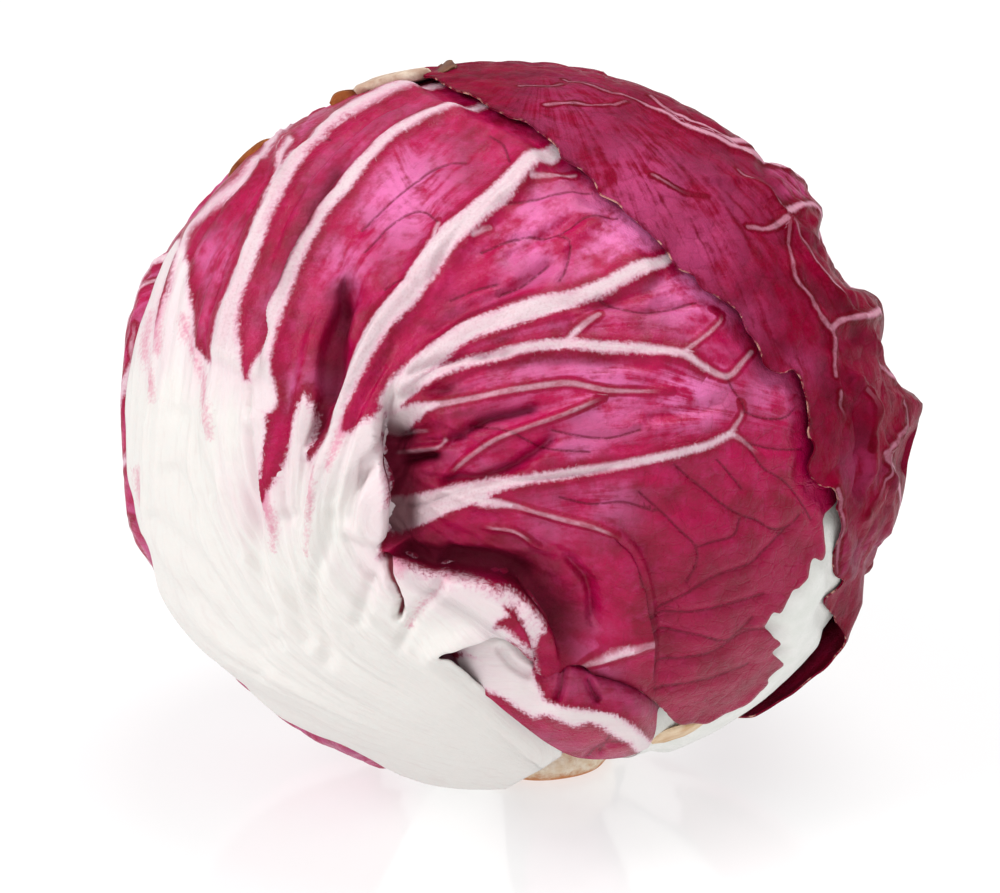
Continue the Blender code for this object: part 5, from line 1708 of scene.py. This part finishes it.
# The dry scraps at the top left, the margins and the small tip at the top, as stations like the roll's
DRY_SCRAPS = (
    ("leaf_left_dry", "leaf_left", "front_leaf", DRY_FINISH, (
        ((219, 174, -0.4), (223, 176, -0.6), (228, 179, -2.4)),
        ((226, 162, 0.5), (231, 165, 0.2), (237, 170, -2.2)),
        ((238, 149, 0.9), (243, 152, 0.5), (249, 159, -2.2)),
        ((252, 139, 0.9), (256, 143, 0.5), (261, 150, -2.2)),
        ((263, 134, 0.4), (267, 138, 0.1), (271, 144, -2.4)),
        ((271, 132, -0.6), (274, 135, -0.8), (277, 140, -2.6)))),
    ("leaf_left_dry_two", "leaf_left", "front_leaf", DRY_FINISH, (
        ((328, 101, 0.2), (331, 105, -0.4), (334, 110, -2.6)),
        ((332, 91, 1.0), (336, 96, 0.4), (341, 103, -2.4)),
        ((343, 87, 0.8), (347, 92, 0.2), (352, 99, -2.4)),
        ((358, 84, 0.0), (362, 88, -0.4), (366, 94, -2.6)))),
    ("leaf_back_margin", "leaf_back", "outer_leaf", MARGIN_FINISH, (
        ((352, 89, 0.0), (356, 93, 0.1), (361, 99, -2.6)), ((380, 79, 0.5), (383, 83, 0.4), (388, 89, -2.6)),
        ((408, 73, 0.8), (411, 77, 0.5), (415, 83, -2.6)),
        ((428, 70, 0.3), (431, 73, 0.0), (434, 78, -2.6)))),
    ("leaf_lower_right_margin", "leaf_lower_right", "pale_leaf", TAN_FINISH, (
        ((648, 741, -1.6), (651, 743, -1.2), (654, 746, -1.6)),
        ((664, 731, -1.2), (668, 735, -0.7), (673, 740, -1.2)),
        ((682, 725, -1.0), (686, 729, -0.5), (691, 734, -1.1)),
        ((700, 721, -1.2), (703, 724, -0.8), (707, 728, -1.3)))),
    ("leaf_back_tip", "leaf_back", "outer_leaf", TIP_FINISH, (
        ((428, 73, -1.0), (434, 75, -0.5), (440, 78, -1.0)),
        ((438, 66, 0.0), (445, 69, 0.5), (452, 73, -0.4)), ((446, 61, 0.9), (451, 63, 1.2), (456, 67, 0.5)),
        ((452, 57, 1.6), (454, 58, 1.7), (457, 61, 1.3)))),
)


# The stem's stub: radius and height from the middle of its cut to the middle of its top
STEM_RADIUS = 12.8
STEM_SIDES = 96
STEM_PROFILE = (
    (0.0, 0.05), (6.0, 0.0), (10.4, 0.0), (11.4, 0.35), (12.0, 1.2), (12.5, 2.6), (STEM_RADIUS, 4.4),
    (12.7, 7.0), (12.3, 9.5), (11.2, 11.8), (8.0, 12.8), (0.0, 12.8),
)


def stem_finish():
    """A pale stem whose cut rim and skin have turned orange brown in places."""
    n = Nodes("cut_stem_skin")
    place = n.place()
    height = n.node("ShaderNodeSeparateXYZ", ((0, place),)).outputs["Z"]
    spots = n.noise(place, 0.35, 4.0, 0.65)
    brown = n.math("MAXIMUM", n.step(n.add(height, n.spread(spots, 5.0)), 0.4, 2.0, 1.0, 0.0),
                   n.step(spots, 0.52, 0.72, 0.0, 0.7))
    colour = n.mix(n.step(n.noise(place, 0.8, 3.0), 0.3, 0.7), srgb(244, 230, 208), srgb(230, 206, 174))
    n.tree.links.new(n.mix(brown, colour, srgb(198, 124, 66)), n.shader.inputs["Base Color"])
    n.bump(n.noise(place, 1.4, 4.0, 0.65), 0.6, 0.0005)
    n.shader.inputs["Roughness"].default_value = 0.6
    return n.material


def stem_piece():
    """The stub of the stem, a little out of round, with a dry brown skin and a cut face."""
    sides = STEM_SIDES
    profile = traced(STEM_PROFILE, 0.5)
    points, faces = [], []
    turn = np.linspace(0.0, 2.0 * math.pi, sides, endpoint=False)
    for r, z in profile:
        wave = 1.0 + 0.012 * np.sin(3 * turn + 0.7) + 0.010 * np.sin(7 * turn + 2.0)
        ring = np.stack((r * wave * np.sin(turn), -r * wave * np.cos(turn), np.full(sides, max(z, 0.0))), 1)
        bumps = 0.16 * noise(ring, 1.6, 4) * min(r / 11.0, 1.0) * min(z, 1.0)
        ring += bumps[:, None] * unit(ring * (1, 1, 0.001))
        points.append(ring)
    points = np.concatenate(points)
    radial = np.hypot(points[:, 0], points[:, 1])
    points[:, :2] *= np.minimum(1.0, STEM_RADIUS / np.maximum(radial, 1e-6))[:, None]
    for k in range(len(profile) - 1):
        for i in range(sides):
            j = (i + 1) % sides
            faces.append((k * sides + i, k * sides + j, (k + 1) * sides + j, (k + 1) * sides + i))
    mesh = bpy.data.meshes.new("stem_stub")
    mesh.from_pydata([tuple(p * MILLIMETRE) for p in points], [], faces)
    joined = bmesh.new()
    joined.from_mesh(mesh)
    bmesh.ops.remove_doubles(joined, verts=joined.verts, dist=1e-6)
    joined.to_mesh(mesh)
    joined.free()
    mesh.validate()
    mesh.shade_smooth()
    piece = bpy.data.objects.new("stem_stub", mesh)
    bpy.context.scene.collection.objects.link(piece)
    mesh.materials.append(stem_finish())
    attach(piece, "root")
    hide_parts("stem")


def leaves():
    """All leaves from the outermost inward, with the roll and the dry scraps."""
    right, front, left, back = right_blade(), front_blade(), left_blade(), back_blade()
    small, lower, crown = small_blade(), lower_right_blade(), crown_blade()
    ribs, mounds, lines = right_parts()
    relief = ribbed_relief(right, lines, ribs, mounds, white_reach=24.0, seed=100, extra=crumpled_right,
                           haze=RIGHT_SHEEN)
    made_leaf(right, [], relief, OUTER_FINISH, "leaf_right", "outer_leaf", fine=0.68,
              dense=beside_folds(right, RIGHT_FOLDS))
    relief, dense = front_relief(front)
    made_leaf(front, [right], relief, FRONT_FINISH, "leaf_front", "front_leaf", dense=dense, stands=True)
    ribs, mounds, lines = left_parts()
    relief = ribbed_relief(left, lines, ribs, mounds, white_reach=26.0, seed=200)
    made_leaf(left, [right, front], relief, FRONT_FINISH, "leaf_left", "front_leaf", fine=0.8)
    ribs, mounds, lines = back_parts()
    relief = ribbed_relief(back, lines, ribs, mounds, white_reach=46.0, seed=300)
    made_leaf(back, [right, front, left], relief, BACK_FINISH, "leaf_back", "outer_leaf", fine=0.85)
    made_leaf(small, [right, front, left, back], no_relief, INNER_FINISH, "leaf_small", "front_leaf",
              fine=1.0, sunk=4.4, pad=1.0, fade=2.5)
    loft("leaf_small_roll", ROLL_STATIONS, FRONT_FINISH, "leaf_small", ROLL_STEPS, ROLL_BUMPS,
         ROLL_VEINS, ROLL_TONGUES, ROLL_CREASES)
    for name, node, slot, finish, stations in DRY_SCRAPS:
        loft(name, stations, finish, node, SCRAP_STEPS, SCRAP_BUMPS)
    made_leaf(lower, [right, front, left, back, small], no_relief, PALE_FINISH,
              "leaf_lower_right", "pale_leaf", fine=0.9)
    made_leaf(crown, [right, front, left, back, small, lower], no_relief, PALE_FINISH,
              "leaf_crown", "pale_leaf", fine=1.2)


# The floor in metres, and the soft lights: where each stands, its width in degrees and its power
FLOOR_HALF = 3.0
FLOOR_DROP = 0.0002
LIGHTS = (
    ("key", (-0.75, -0.40, 0.70), 32.0, 1.9),
    ("top", (0.28, 0.08, 1.0), 40.0, 1.9),
    ("front", (0.15, -1.0, 0.40), 50.0, 0.6),
)


def stage():
    """Floor, lights and camera."""
    scene = bpy.context.scene
    mesh = bpy.data.meshes.new("floor")
    corners = ((-1, -1), (1, -1), (1, 1), (-1, 1))
    mesh.from_pydata([(x * FLOOR_HALF, y * FLOOR_HALF, -FLOOR_DROP) for x, y in corners], [], [(0, 1, 2, 3)])
    floor = bpy.data.objects.new("floor", mesh)
    scene.collection.objects.link(floor)
    n = Nodes("floor_white")
    n.shader.inputs["Base Color"].default_value = (0.34, 0.34, 0.34, 1.0)
    n.shader.inputs["Emission Color"].default_value = (1.0, 1.0, 1.0, 1.0)
    n.shader.inputs["Emission Strength"].default_value = 0.66
    n.shader.inputs["Roughness"].default_value = 0.12
    n.shader.inputs["IOR"].default_value = 1.5
    mesh.materials.append(n.material)

    world = bpy.data.worlds.new("world")
    scene.world = world
    world.use_nodes = True
    world.node_tree.nodes["Background"].inputs["Color"].default_value = (1.0, 1.0, 1.0, 1.0)
    world.node_tree.nodes["Background"].inputs["Strength"].default_value = 0.38

    for name, spot, spread, power in LIGHTS:
        lamp = bpy.data.lights.new(name, "SUN")
        lamp.angle = math.radians(spread)
        lamp.energy = power
        thing = bpy.data.objects.new(name, lamp)
        thing.location = spot
        thing.rotation_euler = Vector(spot).to_track_quat("Z", "Y").to_euler()
        scene.collection.objects.link(thing)

    lens = bpy.data.cameras.new("view")
    lens.sensor_fit = "HORIZONTAL"
    lens.sensor_width = VIEW_SENSOR
    lens.lens = VIEW_LENS
    lens.clip_start = 0.01
    camera = bpy.data.objects.new("view", lens)
    scene.collection.objects.link(camera)
    turned = Matrix((RIGHT, UP, BACK)).transposed().to_4x4()
    camera.matrix_world = Matrix.Translation(Vector((HEAD_CENTRE + EYE) * MILLIMETRE)) @ turned
    scene.camera = camera
    scene.view_settings.view_transform = "Standard"


stage()
leaves()
stem_piece()
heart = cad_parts["heart"]
heart.data.materials.clear()
heart.data.materials.append(PALE_FINISH)
